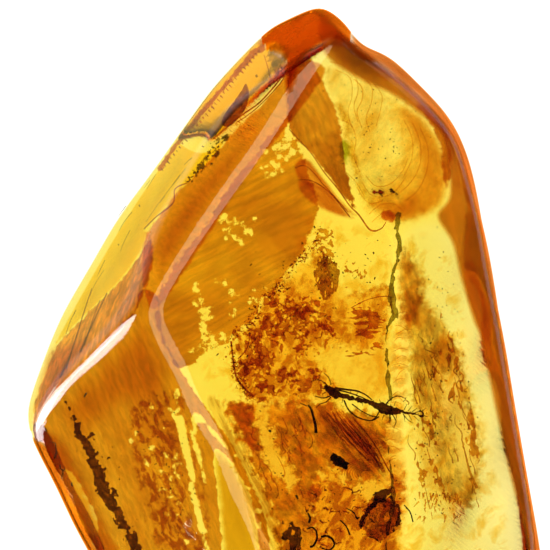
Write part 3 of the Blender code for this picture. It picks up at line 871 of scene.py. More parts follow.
# painted shade: the tip, right and corner layers darken and redden these rims; the tip and right layers overlap at the
# nick so that its glint is covered
skin("tip_shade_skin", [(246, 50), (250, 4), (290, -30), (330, -30), (398, 0), (398, 50), (366, 64), (340, 42), (322, 46), (306, 60), (298, 80), (290, 98), (284, 84), (280, 56), (262, 56)], 1.2, (0.96, 0.46, 0.08), (0.92, 0.40, 0.06), 8.0)
skin("right_shade_skin", [(350, 54), (366, 0), (450, 20), (540, 120), (600, 300), (680, 600), (620, 800), (520, 800), (520, 600), (500, 480), (480, 380), (466, 300), (450, 220), (440, 170), (424, 110), (400, 86), (380, 68)], 0.55,
    (0.93, 0.54, 0.22), (0.86, 0.42, 0.14), 10.0)
skin("left_skin", [(266, 46), (230, 0), (120, 100), (-10, 340), (-20, 425), (36, 434), (60, 397), (100, 351), (134, 317), (150, 288), (156, 250), (190, 188), (232, 140), (290, 74), (276, 54)], 0.60,
    (0.99, 0.94, 0.64), (0.97, 0.90, 0.56), 4.0)
# painted shade: the lower left corner's rim tinted a deeper orange
skin("corner_shade_skin", [(-20, 437), (40, 440), (62, 474), (94, 540), (134, 620), (234, 780), (120, 800), (-20, 600)], 0.88, (0.94, 0.58, 0.12), (0.91, 0.50, 0.08), 5.0)
skin("ridge_grain", [(206, 398), (222, 400), (246, 440), (268, 486), (284, 540), (290, 600), (262, 600), (254, 540), (242, 494), (222, 444)], 1.2, (0.98, 0.86, 0.66), (0.62, 0.40, 0.20), 6.0, grain=(3.6, 0.35, 0.6, -27), contrast=(0.40, 0.60))

OLIVE_ZONE = [(214, 452), (226, 456), (240, 476), (252, 504), (258, 540), (262, 600), (228, 600), (222, 540), (218, 500)]
m = veil_material("olive_zone", (0.80, 0.52, 0.05), (0.66, 0.40, 0.02), 8.0, (0.6, 0.2, 0.4, -21), ragged=3.0)
veil("olive_zone", OLIVE_ZONE, 0.44, m, step=SHEET)
m = veil_material("fine_haze", (1.0, 0.99, 0.94), (0.90, 0.66, 0.22), 14.0, (1.1, 0.8, 0.8, 30), ragged=4.0, contrast=(0.50, 0.66))
veil("fine_haze", [(300, 216), (330, 214), (372, 228), (400, 236), (440, 232), (462, 290), (480, 380), (500, 480), (512, 560), (480, 640), (380, 640), (330, 560), (260, 430), (226, 410), (200, 372), (230, 330), (280, 276)], 1.15, m, step=SHEET, margin=10)
BOWL_RIGHT = [(384, 100), (408, 102), (430, 122), (446, 152), (449, 190), (434, 214), (404, 222), (376, 216), (370, 198), (382, 188), (394, 170), (398, 148), (392, 124)]
m = veil_material("shell_right", (0.96, 0.78, 0.40), (0.88, 0.62, 0.22), 16.0, (0.7, 0.4, 0.5, 15), ragged=10.0)
veil("shell_right", BOWL_RIGHT, 0.68, m, step=SHEET)
m = veil_material("lower_wash", (0.96, 0.72, 0.34), (0.86, 0.54, 0.18), 16.0, (0.8, 0.5, 0.5, -38), ragged=14.0)
veil("lower_wash", [(240, 398), (300, 394), (340, 404), (392, 424), (406, 470), (404, 560), (400, 640), (300, 640), (276, 560), (256, 486), (228, 412)], 1.05, m, step=SHEET, margin=10)
m = veil_material("middle_wash", (0.98, 0.84, 0.50), (0.90, 0.62, 0.24), 14.0, (1.2, 0.9, 0.5, 30), ragged=16.0)
veil("middle_wash", [(256, 302), (286, 276), (310, 262), (336, 278), (360, 292), (392, 288), (394, 330), (390, 400), (340, 400), (250, 404), (234, 372), (236, 336)], 1.02, m, step=SHEET, margin=10)
# painted shade: a deeper orange over the lower left corner
m = veil_material("corner_red", (0.99, 0.68, 0.14), (0.97, 0.58, 0.09), 9.0, (0.7, 0.4, 0.5, -21), ragged=10.0)
veil("corner_red", [(38, 428), (60, 440), (74, 462), (88, 492), (104, 524), (124, 556), (146, 610), (96, 610), (54, 520), (38, 468)], 0.50, m, step=SHEET, margin=8)
m = veil_material("right_wash", (0.97, 0.82, 0.46), (0.84, 0.60, 0.24), 18.0, (0.9, 0.4, 0.5, -15), ragged=16.0)
veil("right_wash", [(404, 300), (420, 290), (446, 320), (468, 370), (484, 430), (484, 490), (462, 512), (424, 506), (410, 440)], 1.0, m, step=SHEET, margin=10)


# ------------------------------------------------------------------ what is sealed in the resin
def chitin_material(name, dark, light, rough=0.42):
    m, nt, out = material(name)
    g = node(nt, "ShaderNodeTexNoise", {"Vector": mapped(nt, (1000, 1000, 1000)), "Scale": 3.5, "Detail": 4.0, "Roughness": 0.6}).outputs["Fac"]
    colour = ramp(nt, g, [(0.35, dark), (0.72, light)])
    bump = node(nt, "ShaderNodeBump", {"Height": g, "Strength": 0.4, "Distance": 0.00006})
    b = node(nt, "ShaderNodeBsdfPrincipled", {"Base Color": colour, "Roughness": rough, "Normal": bump.outputs["Normal"]})
    nt.links.new(b.outputs["BSDF"], out.inputs["Surface"])
    return m


def stained_material(name, tint, tint2, glow, share, size=2.0, spread=(0.35, 0.65)):
    """Half-clear plant or resin matter: some light goes through stained, some is scattered."""
    m, nt, out = material(name)
    g = node(nt, "ShaderNodeTexNoise", {"Vector": mapped(nt, (1000, 1000, 1000)), "Scale": size, "Detail": 4.0, "Roughness": 0.6}).outputs["Fac"]
    clear = node(nt, "ShaderNodeBsdfTransparent", {"Color": ramp(nt, g, [(spread[0], root_of(tint)), (spread[1], root_of(tint2))])})
    if share <= 0:
        nt.links.new(clear.outputs[0], out.inputs["Surface"])
        return m
    scatter = node(nt, "ShaderNodeBsdfTranslucent", {"Color": ramp(nt, g, [(spread[0], glow), (spread[1], tuple(0.5 * x for x in glow))])})
    body_ = node(nt, "ShaderNodeBsdfPrincipled", {"Base Color": ramp(nt, g, [(spread[0], tuple(0.8 * x for x in glow)), (spread[1], tuple(0.35 * x for x in glow))]), "Roughness": 0.6})
    half = node(nt, "ShaderNodeMixShader", {0: 0.35, 1: scatter.outputs[0], 2: body_.outputs[0]})
    mix = node(nt, "ShaderNodeMixShader", {0: share, 1: clear.outputs[0], 2: half.outputs[0]})
    nt.links.new(mix.outputs[0], out.inputs["Surface"])
    return m


CHITIN = stained_material("insect_chitin", (0.30, 0.11, 0.02), (0.05, 0.016, 0.004), (0.06, 0.02, 0.005), 0.5, size=2.6)
BLACK = chitin_material("dark_matter", (0.008, 0.005, 0.002), (0.035, 0.018, 0.004), 0.6)
BROWN = stained_material("brown_debris", (0.88, 0.56, 0.10), (0.50, 0.21, 0.03), (0.52, 0.22, 0.03), 0.07)
RUST = stained_material("rusty_debris", (0.80, 0.38, 0.05), (0.42, 0.13, 0.01), (0.52, 0.18, 0.02), 0.07)
OLIVE = stained_material("olive_leaf", (0.72, 0.44, 0.07), (0.34, 0.16, 0.02), (0.34, 0.18, 0.02), 0.08, size=4.0, spread=(0.4, 0.6))
LINE = stained_material("hair_lines", (0.42, 0.20, 0.04), (0.22, 0.09, 0.02), (0.2, 0.08, 0.01), 0.0)
PALE = stained_material("pale_flecks", (1.0, 0.86, 0.6), (0.92, 0.7, 0.3), (0.9, 0.7, 0.3), 0.2)


def spot(u, v, cu, cv, ru, rv, turn=0.0):
    """A soft oval: one in the middle, zero at its edge."""
    t = math.radians(turn)
    a, b = (u - cu) * math.cos(t) + (v - cv) * math.sin(t), -(u - cu) * math.sin(t) + (v - cv) * math.cos(t)
    return np.clip(1.0 - (a / ru) ** 2 - (b / rv) ** 2, 0.0, 1.0)


def capsule(u, v, w, a, b, ra, rb):
    a, b = np.array(a, float), np.array(b, float)
    ab = b - a
    t = np.clip(((u - a[0]) * ab[0] + (v - a[1]) * ab[1] + (w - a[2]) * ab[2]) / (ab @ ab), 0, 1)
    d = np.sqrt((u - a[0] - t * ab[0]) ** 2 + (v - a[1] - t * ab[1]) ** 2 + (w - a[2] - t * ab[2]) ** 2)
    return ra + (rb - ra) * t - d


def joined(fields, soft=1.2):
    """Fields (positive inside) run together with a smooth neck."""
    top = np.maximum.reduce(fields)
    return top + soft * np.log(sum(np.exp((f - top) / soft) for f in fields)) - soft * 0.2


GRAIN = 1.0

# --- the insect: head at the left, a thin waist, a thick abdomen and a bristly tail
def insect(u, v, w):
    parts = [
        capsule(u, v, w, (329.5, 390.0, 0.0), (334.5, 393.0, 0.5), 3.9, 4.7),
        capsule(u, v, w, (326.0, 387.0, -1.0), (328.5, 388.5, -0.5), 1.6, 2.4),
        capsule(u, v, w, (337.0, 394.0, 0.5), (345.0, 396.5, 1.0), 3.4, 1.9),
        capsule(u, v, w, (345.0, 396.5, 1.0), (358.0, 399.5, 1.2), 1.7, 2.4),
        capsule(u, v, w, (358.0, 399.5, 1.2), (371.0, 402.5, 1.2), 2.3, 1.5),
        capsule(u, v, w, (371.0, 402.5, 1.2), (384.0, 409.0, 1.0), 2.2, 5.2),
        capsule(u, v, w, (384.0, 409.0, 1.0), (398.0, 411.5, 0.6), 5.2, 2.8),
        capsule(u, v, w, (398.0, 411.5, 0.6), (417.0, 414.5, 0.2), 2.2, 1.2),
    ]
    f = joined(parts, 0.7)
    r = np.sqrt((np.hypot(u - 420.5, v - 414.0) - 2.6) ** 2 + w ** 2)
    f = np.maximum(f, 0.95 - r)
    return f - 5.0 * (fbm(np.stack([u, v, w], -1) / 2.6, 4, 1.0) - 0.47)


body("insect_body", (318, 379, -9, 428, 424, 10), 0.5, insect, 1.5, CHITIN)


def seg(points, depth, r0, r1):
    """A strand through (u, v) points with a taper."""
    n = len(points)
    return [(p[0], p[1], depth + (p[2] * GRID if len(p) > 2 else 0.0), r0 + (r1 - r0) * k / max(n - 1, 1)) for k, p in enumerate(points)]


LEGS = [
    seg([(335, 388), (346, 389.5), (357, 391), (366, 395), (372, 400)], 1.40, 1.15, 0.6),
    seg([(338, 390), (350, 393), (361, 397), (370, 401)], 1.35, 0.8, 0.5),
    seg([(344, 400), (348, 409), (354, 415), (362, 419), (372, 420.5), (379, 416.5)], 1.30, 0.8, 0.6),
    seg([(352, 404), (360, 410), (369, 415), (377, 417)], 1.40, 0.55, 0.5),
    seg([(330, 396), (323, 398), (315, 396)], 1.50, 0.8, 0.4),
    seg([(331, 397), (326, 402), (320, 404), (316, 408)], 1.60, 0.6, 0.35),
    seg([(328, 386), (322, 381), (316, 380), (311, 382)], 1.45, 0.55, 0.3),
    seg([(331, 385), (329, 378), (324, 373)], 1.40, 0.5, 0.3),
    seg([(380, 410), (376, 417), (370, 421)], 1.60, 0.7, 0.35),
    seg([(392, 414), (396, 421), (394, 427)], 1.65, 0.6, 0.3),
    seg([(403, 414), (408, 420), (413, 423)], 1.60, 0.5, 0.3),
    seg([(386, 404), (392, 398), (399, 396), (406, 399)], 1.35, 0.7, 0.35),
]
BRISTLES = [seg([(a, b), (a + du, b + dv)], 1.5, 0.42, 0.18) for a, b, du, dv in (
    (404, 410, 3, -6), (408, 411, 4, -5), (412, 412, 5, -4), (415, 413, 6, -3), (418, 415, 7, 1), (414, 416, 5, 5), (409, 415, 3, 6), (404, 415, 1, 7),
    (394, 406, 2, -5), (388, 404, 0, -5), (381, 403, -2, -4), (384, 415, -2, 5), (396, 415, 1, 5), (421, 412, 5, -4), (423, 415, 5, 2),
    (350, 394, 1, -4), (356, 396, 2, -4), (343, 399, -1, 4), (362, 402, 1, 4), (326, 392, -4, 2), (325, 389, -5, -1))]
tubes("insect_legs", LEGS + BRISTLES, CHITIN, sides=6)


def pellet(u, v, w):
    return joined([capsule(u, v, w, (335.5, 458.5, 0), (344.5, 465.5, 0), 4.4, 3.9), capsule(u, v, w, (336, 460, 2), (342, 463, 2), 4.6, 4.0)], 0.8) \
        - 9.0 * (fbm(np.stack([u, v, w], -1) / 3.6, 4, 2.0) - 0.46)


body("pellet", (325, 449, -8, 356, 475, 10), GRAIN * 0.7, pellet, 2.2, BLACK)


def streak(u, v, w):
    """A ragged dark plant strand in the lower left."""
    path = curve([(62, 393), (66, 402), (75, 423), (83, 441), (94, 463), (103, 487), (114, 508), (131, 537), (140, 556)])
    d, t = line_distance(u[:, :, 0], v[:, :, 0], path)
    width = 0.6 + 5.2 * np.clip((t - 0.12) / 0.3, 0, 1) - 1.6 * np.clip((t - 0.75) / 0.25, 0, 1)
    branch, _ = line_distance(u[:, :, 0], v[:, :, 0], curve([(97, 462), (103, 458), (108, 461), (104, 470)]))
    branch2, _ = line_distance(u[:, :, 0], v[:, :, 0], curve([(112, 489), (117, 493), (119, 500)]))
    branch3, _ = line_distance(u[:, :, 0], v[:, :, 0], curve([(86, 440), (93, 434), (95, 440)]))
    flat = np.maximum.reduce([width - d, 1.4 - branch, 1.3 - branch2, 1.2 - branch3])[:, :, None]
    p = np.stack([u, v, w], -1)
    rag = 13.0 * (fbm(p / (5.0, 5.0, 12.0), 4, 3.0) - 0.44) + 5.0 * (fbm(p / (1.8, 1.8, 6.0), 2, 9.0) - 0.5)
    return flat - 0.28 * np.abs(w) - rag


body("plant_strand", (56, 388, -9, 146, 556, 9), GRAIN * 1.0, streak, 0.9, stained_material("plant_strand", (0.62, 0.36, 0.05), (0.12, 0.06, 0.01), (0.12, 0.06, 0.01), 0.2, size=3.5, spread=(0.36, 0.56)))
MARKS = [seg([(52, 442.5), (55, 443), (56, 448), (56, 454), (54.5, 458)], 0.22, 0.5, 0.9), seg([(60, 465), (61, 469), (63, 471), (62, 476), (62.5, 479)], 0.22, 0.9, 0.6),
    seg([(63, 471), (65, 468.5)], 0.22, 0.7, 0.4), seg([(71.5, 482.5), (72, 486)], 0.22, 1.1, 0.9), seg([(66, 502), (71, 500)], 0.22, 0.35, 0.25), seg([(86.5, 393), (84, 397)], 0.22, 0.9, 0.6)]
tubes("corner_marks", MARKS, BLACK, sides=6)

# --- brown lacy debris
def lace_field(spots, size, wall, rag=1.0, stretch=(1.0, 1.0, 3.0), salt=0.0, level=0.5, thick=3.0):
    def field(u, v, w):
        flat = 0.0
        for s in spots:
            flat = np.maximum(flat, s[-1] * spot(u[:, :, 0], v[:, :, 0], *s[:-1]) ** 0.5)
        p = np.stack([u / stretch[0], v / stretch[1], w / stretch[2]], -1) / size
        n = fbm(p, 4, salt)
        ridge = 1.0 - np.abs(2.0 * fbm(p * 1.3, 3, salt + 5) - 1.0)
        return (0.62 * n + 0.38 * (ridge - 0.3)) * rag + flat[:, :, None] * 0.26 - level - wall * (w / thick) ** 2
    return field


MAIN = [(300, 316, 44, 24, 12, 1.0), (268, 330, 22, 30, 20, 1.0), (258, 355, 20, 34, -8, 1.05), (244, 372, 14, 30, -20, 0.9), (300, 345, 34, 20, 0, 0.62),
    (300, 380, 34, 18, 0, 0.80), (284, 376, 12, 12, 0, 1.0), (320, 385, 18, 12, 0, 0.78), (238, 350, 7, 26, -8, 0.95), (326, 340, 26, 14, 20, 0.6), (275, 300, 16, 16, 0, 0.75), (262, 388, 26, 18, 0, 0.9)]
body("brown_debris", (222, 284, -8, 352, 404, 9), GRAIN, lace_field(MAIN, 3.8, 0.24, level=0.725, salt=1.0), 1.3, BROWN)
body("brown_debris_low", (222, 284, -8, 352, 404, 9), GRAIN * 1.2, lace_field(MAIN, 7.5, 0.22, level=0.755, salt=21.0), 2.6, RUST)
LEAF = [(325, 250, 11, 26, -8, 0.86), (322, 240, 13, 14, 0, 0.80), (345, 262, 12, 8, 0, 0.6), (352, 272, 20, 8, 10, 0.5), (328, 236, 6, 12, 0, 0.9)]
body("leaf_lace", (306, 220, -7, 376, 292, 8), GRAIN, lace_field(LEAF, 4.0, 0.24, level=0.70, salt=2.0), 1.0, BROWN)


def leaf_flake(u, v, w):
    o = curve([(319, 262), (325, 258), (334, 262), (337, 272), (335, 286), (330, 294), (324, 296), (320, 288), (317, 274)], closed=True)
    e = inset(u[:, :, 0], v[:, :, 0], o)[:, :, None]
    p = np.stack([u / 0.6, v / 2.2, w], -1) / 3.0
    return np.minimum(e * 0.6 + 1.2, 2.2 + 0.05 * e - np.abs(w - 0.8 * np.sin(u * 0.5))) - 7.5 * (fbm(p, 3, 4.0) - 0.42)


body("leaf_flake", (310, 250, -7, 345, 304, 7), GRAIN * 0.8, leaf_flake, 1.4, OLIVE)
STRATA = [(368, 324, 20, 26, 0, 1.0), (358, 309, 9, 9, 0, 1.1), (372, 345, 16, 14, 0, 0.8), (352, 322, 14, 12, 0, 0.6), (352, 348, 14, 10, 0, 0.5), (360, 290, 24, 8, -6, 0.35)]
body("brown_strata", (338, 282, -7, 390, 362, 8), GRAIN, lace_field(STRATA, 3.0, 0.22, level=0.715, salt=3.0, stretch=(3.4, 0.8, 3.0)), 1.3, RUST)
COLUMN = [(450, 352, 14, 34, -8, 0.9), (444, 330, 8, 22, 0, 0.7), (458, 395, 12, 40, -14, 0.85), (436, 380, 8, 26, 0, 0.6), (470, 430, 8, 50, -8, 0.9), (430, 440, 16, 40, 0, 0.62), (440, 480, 16, 30, 0, 0.7), (420, 470, 10, 40, 0, 0.75)]
body("right_debris", (416, 306, -7, 484, 520, 8), GRAIN * 1.3, lace_field(COLUMN, 5.4, 0.22, level=0.735, salt=4.0, stretch=(0.8, 1.7, 3.0)), 1.4, BROWN)

# --- plant remains at the lower edge
def plant_mass(u, v, w):
    """A curled scrap of plant: a dark thick top, a left edge that runs down from it and a curved right edge."""
    f = joined([capsule(u, v, w, (379, 495, 0), (389, 491, 0), 5.0, 3.6), capsule(u, v, w, (378, 499, 1), (369, 509, 1), 3.6, 2.4), capsule(u, v, w, (369, 509, 1), (361, 523, 1), 2.4, 2.6),
        capsule(u, v, w, (361, 523, 1), (363, 534, 1), 2.6, 1.0), capsule(u, v, w, (391, 497, 1), (399, 508, 1), 2.2, 1.7), capsule(u, v, w, (399, 508, 1), (399, 522, 1), 1.7, 2.2),
        capsule(u, v, w, (399, 522, 1), (393, 533, 1), 2.2, 1.0), capsule(u, v, w, (384, 498, 2), (386, 512, 2), 2.8, 1.0), capsule(u, v, w, (370, 536, 1), (380, 542, 1), 1.4, 1.8),
        capsule(u, v, w, (366, 515, 2), (374, 524, 2), 1.8, 1.0)], 1.0)
    return f - 6.0 * (fbm(np.stack([u, v, w / 2], -1) / 2.4, 4, 6.0) - 0.40)


body("plant_mass", (348, 480, -9, 412, 552, 10), GRAIN * 0.8, plant_mass, 1.7, stained_material("plant_mass", (0.44, 0.20, 0.02), (0.08, 0.035, 0.008), (0.10, 0.045, 0.01), 0.35, size=2.5))


def plant_core(u, v, w):
    o = curve([(372, 500), (388, 500), (397, 512), (394, 528), (382, 538), (368, 534), (363, 520)], closed=True)
    e = inset(u[:, :, 0], v[:, :, 0], o)[:, :, None]
    p = np.stack([u / 1.8, v / 0.7, w / 3], -1) / 2.6
    return np.minimum(e * 0.5 + 1.0, 2.0 - np.abs(w)) - 5.0 * (fbm(p, 4, 7.0) - 0.40)


body("plant_core", (356, 494, -6, 404, 546, 7), GRAIN, plant_core, 2.1, stained_material("plant_core", (0.78, 0.38, 0.05), (0.20, 0.09, 0.01), (0.4, 0.18, 0.02), 0.10, size=4.5, spread=(0.42, 0.6)))


def dark_block(u, v, w):
    o = curve([(284, 528), (290, 524), (298, 527), (301, 540), (300, 560), (286, 560), (284, 545)], closed=True)
    e = inset(u[:, :, 0], v[:, :, 0], o)[:, :, None]
    return np.minimum(e, 5.0 - np.abs(w)) - 26.0 * (fbm(np.stack([u, v, w / 2], -1) / 5.0, 4, 8.0) - 0.43)


body("dark_block", (276, 516, -8, 308, 566, 8), GRAIN, dark_block, 1.4, stained_material("dark_block", (0.50, 0.34, 0.04), (0.12, 0.08, 0.01), (0.10, 0.06, 0.01), 0.25, size=3.5, spread=(0.38, 0.58)))
HOOKS = [
    seg([(307, 529), (312, 527.5), (316, 531), (317, 538), (314, 545), (310, 547)], 1.3, 0.7, 1.3), seg([(321, 537), (327, 536), (333, 540), (334, 546), (329, 550), (322, 548)], 1.3, 1.3, 0.7),
    seg([(308, 513), (310, 518), (309, 523)], 1.2, 0.9, 1.3), seg([(296, 495), (298, 499)], 1.1, 1.2, 0.8), seg([(340, 520), (346, 526), (350, 535)], 1.5, 0.6, 0.9),
    seg([(346, 508), (353, 512), (357, 518)], 1.5, 0.5, 0.7), seg([(308, 405), (311, 409), (313.5, 417), (315.5, 426), (316, 433)], 1.3, 0.9, 1.7), seg([(300, 403), (307, 406)], 1.3, 0.4, 0.6),
    seg([(404, 505), (410, 512), (413, 522)], 1.5, 0.6, 0.7), seg([(318, 556), (326, 562)], 1.5, 1.2, 0.9), seg([(269, 430), (271, 432)], 1.0, 1.3, 1.0),
]
tubes("dark_hooks", HOOKS, BLACK, sides=7)

# --- specks, seeded, scattered through the middle and the right
SPECKS = []
for cu, cv, ru, rv, count, big in ((345, 262, 30, 22, 26, 1.0), (300, 300, 60, 60, 60, 0.9), (440, 300, 18, 55, 30, 0.8), (440, 420, 30, 90, 70, 0.9), (170, 470, 34, 70, 60, 0.9), (360, 500, 60, 40, 50, 0.9),
        (290, 470, 30, 60, 40, 0.8), (375, 140, 40, 60, 60, 0.8), (225, 350, 20, 30, 10, 0.8), (100, 450, 40, 60, 14, 0.6), (200, 120, 40, 40, 8, 0.6)):
    for _ in range(count):
        a, b = cu + ru * RNG.normal() * 0.6, cv + rv * RNG.normal() * 0.6
        t, length = RNG.random() * 6.28, (0.5 + 2.2 * RNG.random() ** 2) * big
        r = (0.35 + 0.65 * RNG.random() ** 2) * big
        d = 0.5 + 2.4 * RNG.random()
        SPECKS.append([(a, b, d, r), (a + length * math.cos(t), b + length * math.sin(t), d + 0.05, r * 0.7)])
inside_specks = [s for s in SPECKS if in_stone(seen(s[0][0], s[0][1], s[0][2]), 0.6) and in_stone(seen(s[1][0], s[1][1], s[1][2]), 0.6)]
tubes("specks", inside_specks, stained_material("specks", (0.35, 0.16, 0.03), (0.10, 0.04, 0.01), (0.08, 0.03, 0.01), 0.4), sides=5, smooth_n=2)


# ------------------------------------------------------------------ cracks, swirls and surface marks
GREEN = stained_material("crack_green", (0.52, 0.46, 0.12), (0.20, 0.17, 0.03), (0.16, 0.14, 0.03), 0.12, size=2.0)
REDDISH = stained_material("crack_red", (0.66, 0.26, 0.06), (0.34, 0.10, 0.02), (0.3, 0.1, 0.02), 0.05, size=2.4)
# used for the real scratches and also for the painted dark rings of the bubbles
SCRATCH_AND_BUBBLE_SHADE = stained_material("scratches", (0.40, 0.34, 0.10), (0.22, 0.18, 0.05), (0.1, 0.08, 0.02), 0.0, size=2.0)
SWIRL = stained_material("swirl_lines", (0.94, 0.78, 0.46), (0.78, 0.56, 0.22), (0.3, 0.2, 0.04), 0.0, size=1.6)


def crack_wall(u, v, w):
    """The upright crack right of the middle: a thin, kinked wall seen nearly on edge."""
    path = curve([(398, 214), (397, 232), (400, 243), (397, 260), (393, 276), (391, 293), (395, 314), (388, 325), (386, 343), (387, 361), (389, 387), (391, 410), (388, 440), (391, 470), (393, 500), (388, 530), (384, 566)])
    d, t = line_distance(u[:, :, 0], v[:, :, 0], path)
    wide = 2.6 - 1.5 * np.clip((t - 0.36) / 0.2, 0, 1) + 1.2 * np.sin(23.0 * t) * np.clip((t - 0.1) / 0.1, 0, 1)
    p = np.stack([u / 0.8, v / 1.8, w / 4], -1) / 2.6
    return (wide - d)[:, :, None] + 0.0 * w - 7.0 * (fbm(p, 4, 31.0) - 0.44) - np.maximum(np.abs(w) - 3.0, 0)


body("crack_wall", (376, 208, -6, 410, 566, 7), GRAIN, crack_wall, 1.2, GREEN)

CRACKS = [
    seg([(289, 129), (300, 141), (311, 153), (324, 172), (338, 189), (350, 206), (359, 215), (369, 229), (376, 231)], 0.5, 0.4, 0.9),
    seg([(376, 231), (382, 228), (386, 222)], 0.5, 0.7, 0.4),
    seg([(287, 70), (280, 79), (273, 88), (259, 103), (242, 115), (225, 129), (213, 139)], 0.30, 1.0, 0.7),
    seg([(285, 76), (278, 86), (266, 99), (252, 112), (236, 123)], 0.34, 0.5, 0.5),
    seg([(187, 183), (175, 189), (173, 203), (156, 217), (144, 229)], 0.26, 0.6, 0.9),
    seg([(264, 55), (268, 68), (271, 81)], 0.30, 0.4, 0.7),
    seg([(250, 332), (249, 341), (246, 350), (238, 359)], 0.9, 0.5, 0.7), seg([(256, 338), (249, 347)], 0.9, 0.4, 0.4),
    seg([(231, 341), (233, 358), (236, 376), (244, 388), (254, 397)], 0.8, 0.9, 1.2),
    seg([(351, 308), (364, 301), (378, 297), (390, 297), (391, 306), (394, 315)], 1.1, 0.4, 0.5),
    seg([(297, 180), (312, 181), (330, 193), (350, 217)], 0.6, 0.4, 0.6),
    seg([(295, 168), (306, 166), (321, 181)], 0.6, 0.4, 0.5),
    seg([(320, 181), (334, 196), (348, 212)], 0.6, 0.4, 0.5),
]
tubes("brown_cracks", [c for c in CRACKS], REDDISH, sides=6)

MARKS_C = [seg(p, 0.14, r0, r1) for p, r0, r1 in (
    ([(156, 174), (151, 182), (147, 189)], 0.5, 0.3), ([(192, 158), (188, 161), (184, 165)], 0.5, 0.3), ([(180, 175), (168, 191), (156, 207), (146, 222)], 0.45, 0.3), ([(186, 168), (172, 186)], 0.35, 0.25),
    ([(150, 180), (144, 188)], 0.4, 0.3), ([(130, 230), (124, 242), (120, 252)], 0.45, 0.3), ([(105, 260), (100, 270), (97, 277)], 0.5, 0.3), ([(120, 290), (112, 304)], 0.4, 0.25),
    ([(132, 212), (124, 222), (119, 231)], 0.6, 0.3), ([(125, 205), (117, 216)], 0.4, 0.25), ([(104, 270), (95, 284), (90, 296)], 0.4, 0.3), ([(76, 310), (70, 322), (66, 334)], 0.6, 0.4),
    ([(165, 196), (160, 203)], 0.3, 0.25), ([(256, 75), (257, 77)], 1.3, 1.0), ([(139, 205), (140, 206.5)], 0.8, 0.6), ([(118, 244), (119, 245.5)], 0.6, 0.5), ([(202, 146), (204, 147)], 0.7, 0.5))]
tubes("side_scratches", MARKS_C, SCRATCH_AND_BUBBLE_SHADE, sides=5)
DARK_LINES = [seg(p, 0.5, r0, r1) for p, r0, r1 in (
    ([(92, 288), (84, 312), (76, 338), (66, 369)], 0.6, 1.6), ([(107, 293), (98, 312), (88, 334), (80, 352)], 1.0, 1.8), ([(100, 300), (92, 322), (84, 346)], 0.7, 1.2), ([(72, 352), (66, 364), (60, 378)], 1.0, 1.4))]
tubes("side_lines", DARK_LINES, stained_material("side_lines", (0.58, 0.36, 0.10), (0.30, 0.17, 0.04), (0.1, 0.07, 0.02), 0.1, size=3.0), sides=6)


def flake_c(u, v, w):
    o = curve([(246, 84), (249, 93), (247, 105), (241, 115), (230, 126), (222, 125), (223, 117), (228, 109), (235, 100), (241, 91)], closed=True)
    e = inset(u[:, :, 0], v[:, :, 0], o)[:, :, None]
    return np.minimum(e, 1.6 - np.abs(w)) - 1.6 * (fbm(np.stack([u, v / 2.0, w], -1) / 2.6, 3, 41.0) - 0.42)


body("side_flake", (216, 78, -5, 256, 132, 6), GRAIN * 0.8, flake_c, 0.5, stained_material("side_flake", (0.52, 0.22, 0.02), (0.30, 0.11, 0.01), (0.4, 0.18, 0.02), 0.10, size=2.4))
# painted shade: the dark spots of the bubble cluster stand for the dark rings that internal reflection gives air
# bubbles, as a spotted tinted veil and small dark blobs
CLUSTER = [(225, 134), (228, 138), (222, 146), (213, 164), (200, 174), (188, 182), (184, 180), (196, 168), (204, 156), (212, 144)]
m = veil_material("bubble_cluster", (1.0, 0.95, 0.75), (0.20, 0.14, 0.03), 2.0, (3.4, 3.4, 2.0, 0), ragged=6.0, contrast=(0.48, 0.56))
veil("bubble_cluster", CLUSTER, 0.24, m, step=1.5)
RNG2 = np.random.default_rng(77)
BUBBLES = []
for _ in range(46):
    k = RNG2.random()
    cu, cv = 225 - 36 * k + RNG2.normal() * 2.0, 137 + 42 * k ** 1.1 + RNG2.normal() * 2.0
    r = 0.5 + 1.0 * RNG2.random() ** 2
    BUBBLES.append([(cu, cv, 0.3, r), (cu + 0.5 * r, cv + 0.4 * r, 0.3, r)])
tubes("bubble_shade_spots", BUBBLES, SCRATCH_AND_BUBBLE_SHADE, sides=6, smooth_n=2)

# the serrated dark red rim of the upper left side
RIM = []
for k in range(34):
    t = k / 33
    cu, cv = 258 - 97 * t, 49 + 118 * t ** 1.04
    r = 0.5 + 0.9 * RNG2.random()
    du = 1.4 + 2.0 * RNG2.random()
    RIM.append([(cu + 0.4, cv + 1.8, 0.14, r), (cu + du, cv + 1.8 + 0.8 * du, 0.16, 0.5 * r)])
tubes("serrated_rim", RIM, stained_material("serrated_rim", (0.60, 0.20, 0.03), (0.32, 0.08, 0.01), (0.3, 0.08, 0.01), 0.0), sides=6, smooth_n=2)
rim_m = veil_material("rim_line", (0.62, 0.22, 0.04), (0.44, 0.12, 0.01), 1.6, (2.0, 2.0, 2.0, 0), ragged=4.0)
veil("rim_line", [(262, 44), (250, 52), (228, 78), (200, 110), (176, 140), (158, 166), (162, 170), (180, 144), (204, 114), (231, 83), (254, 58), (265, 50)], 0.12, rim_m, step=1.2, margin=2)

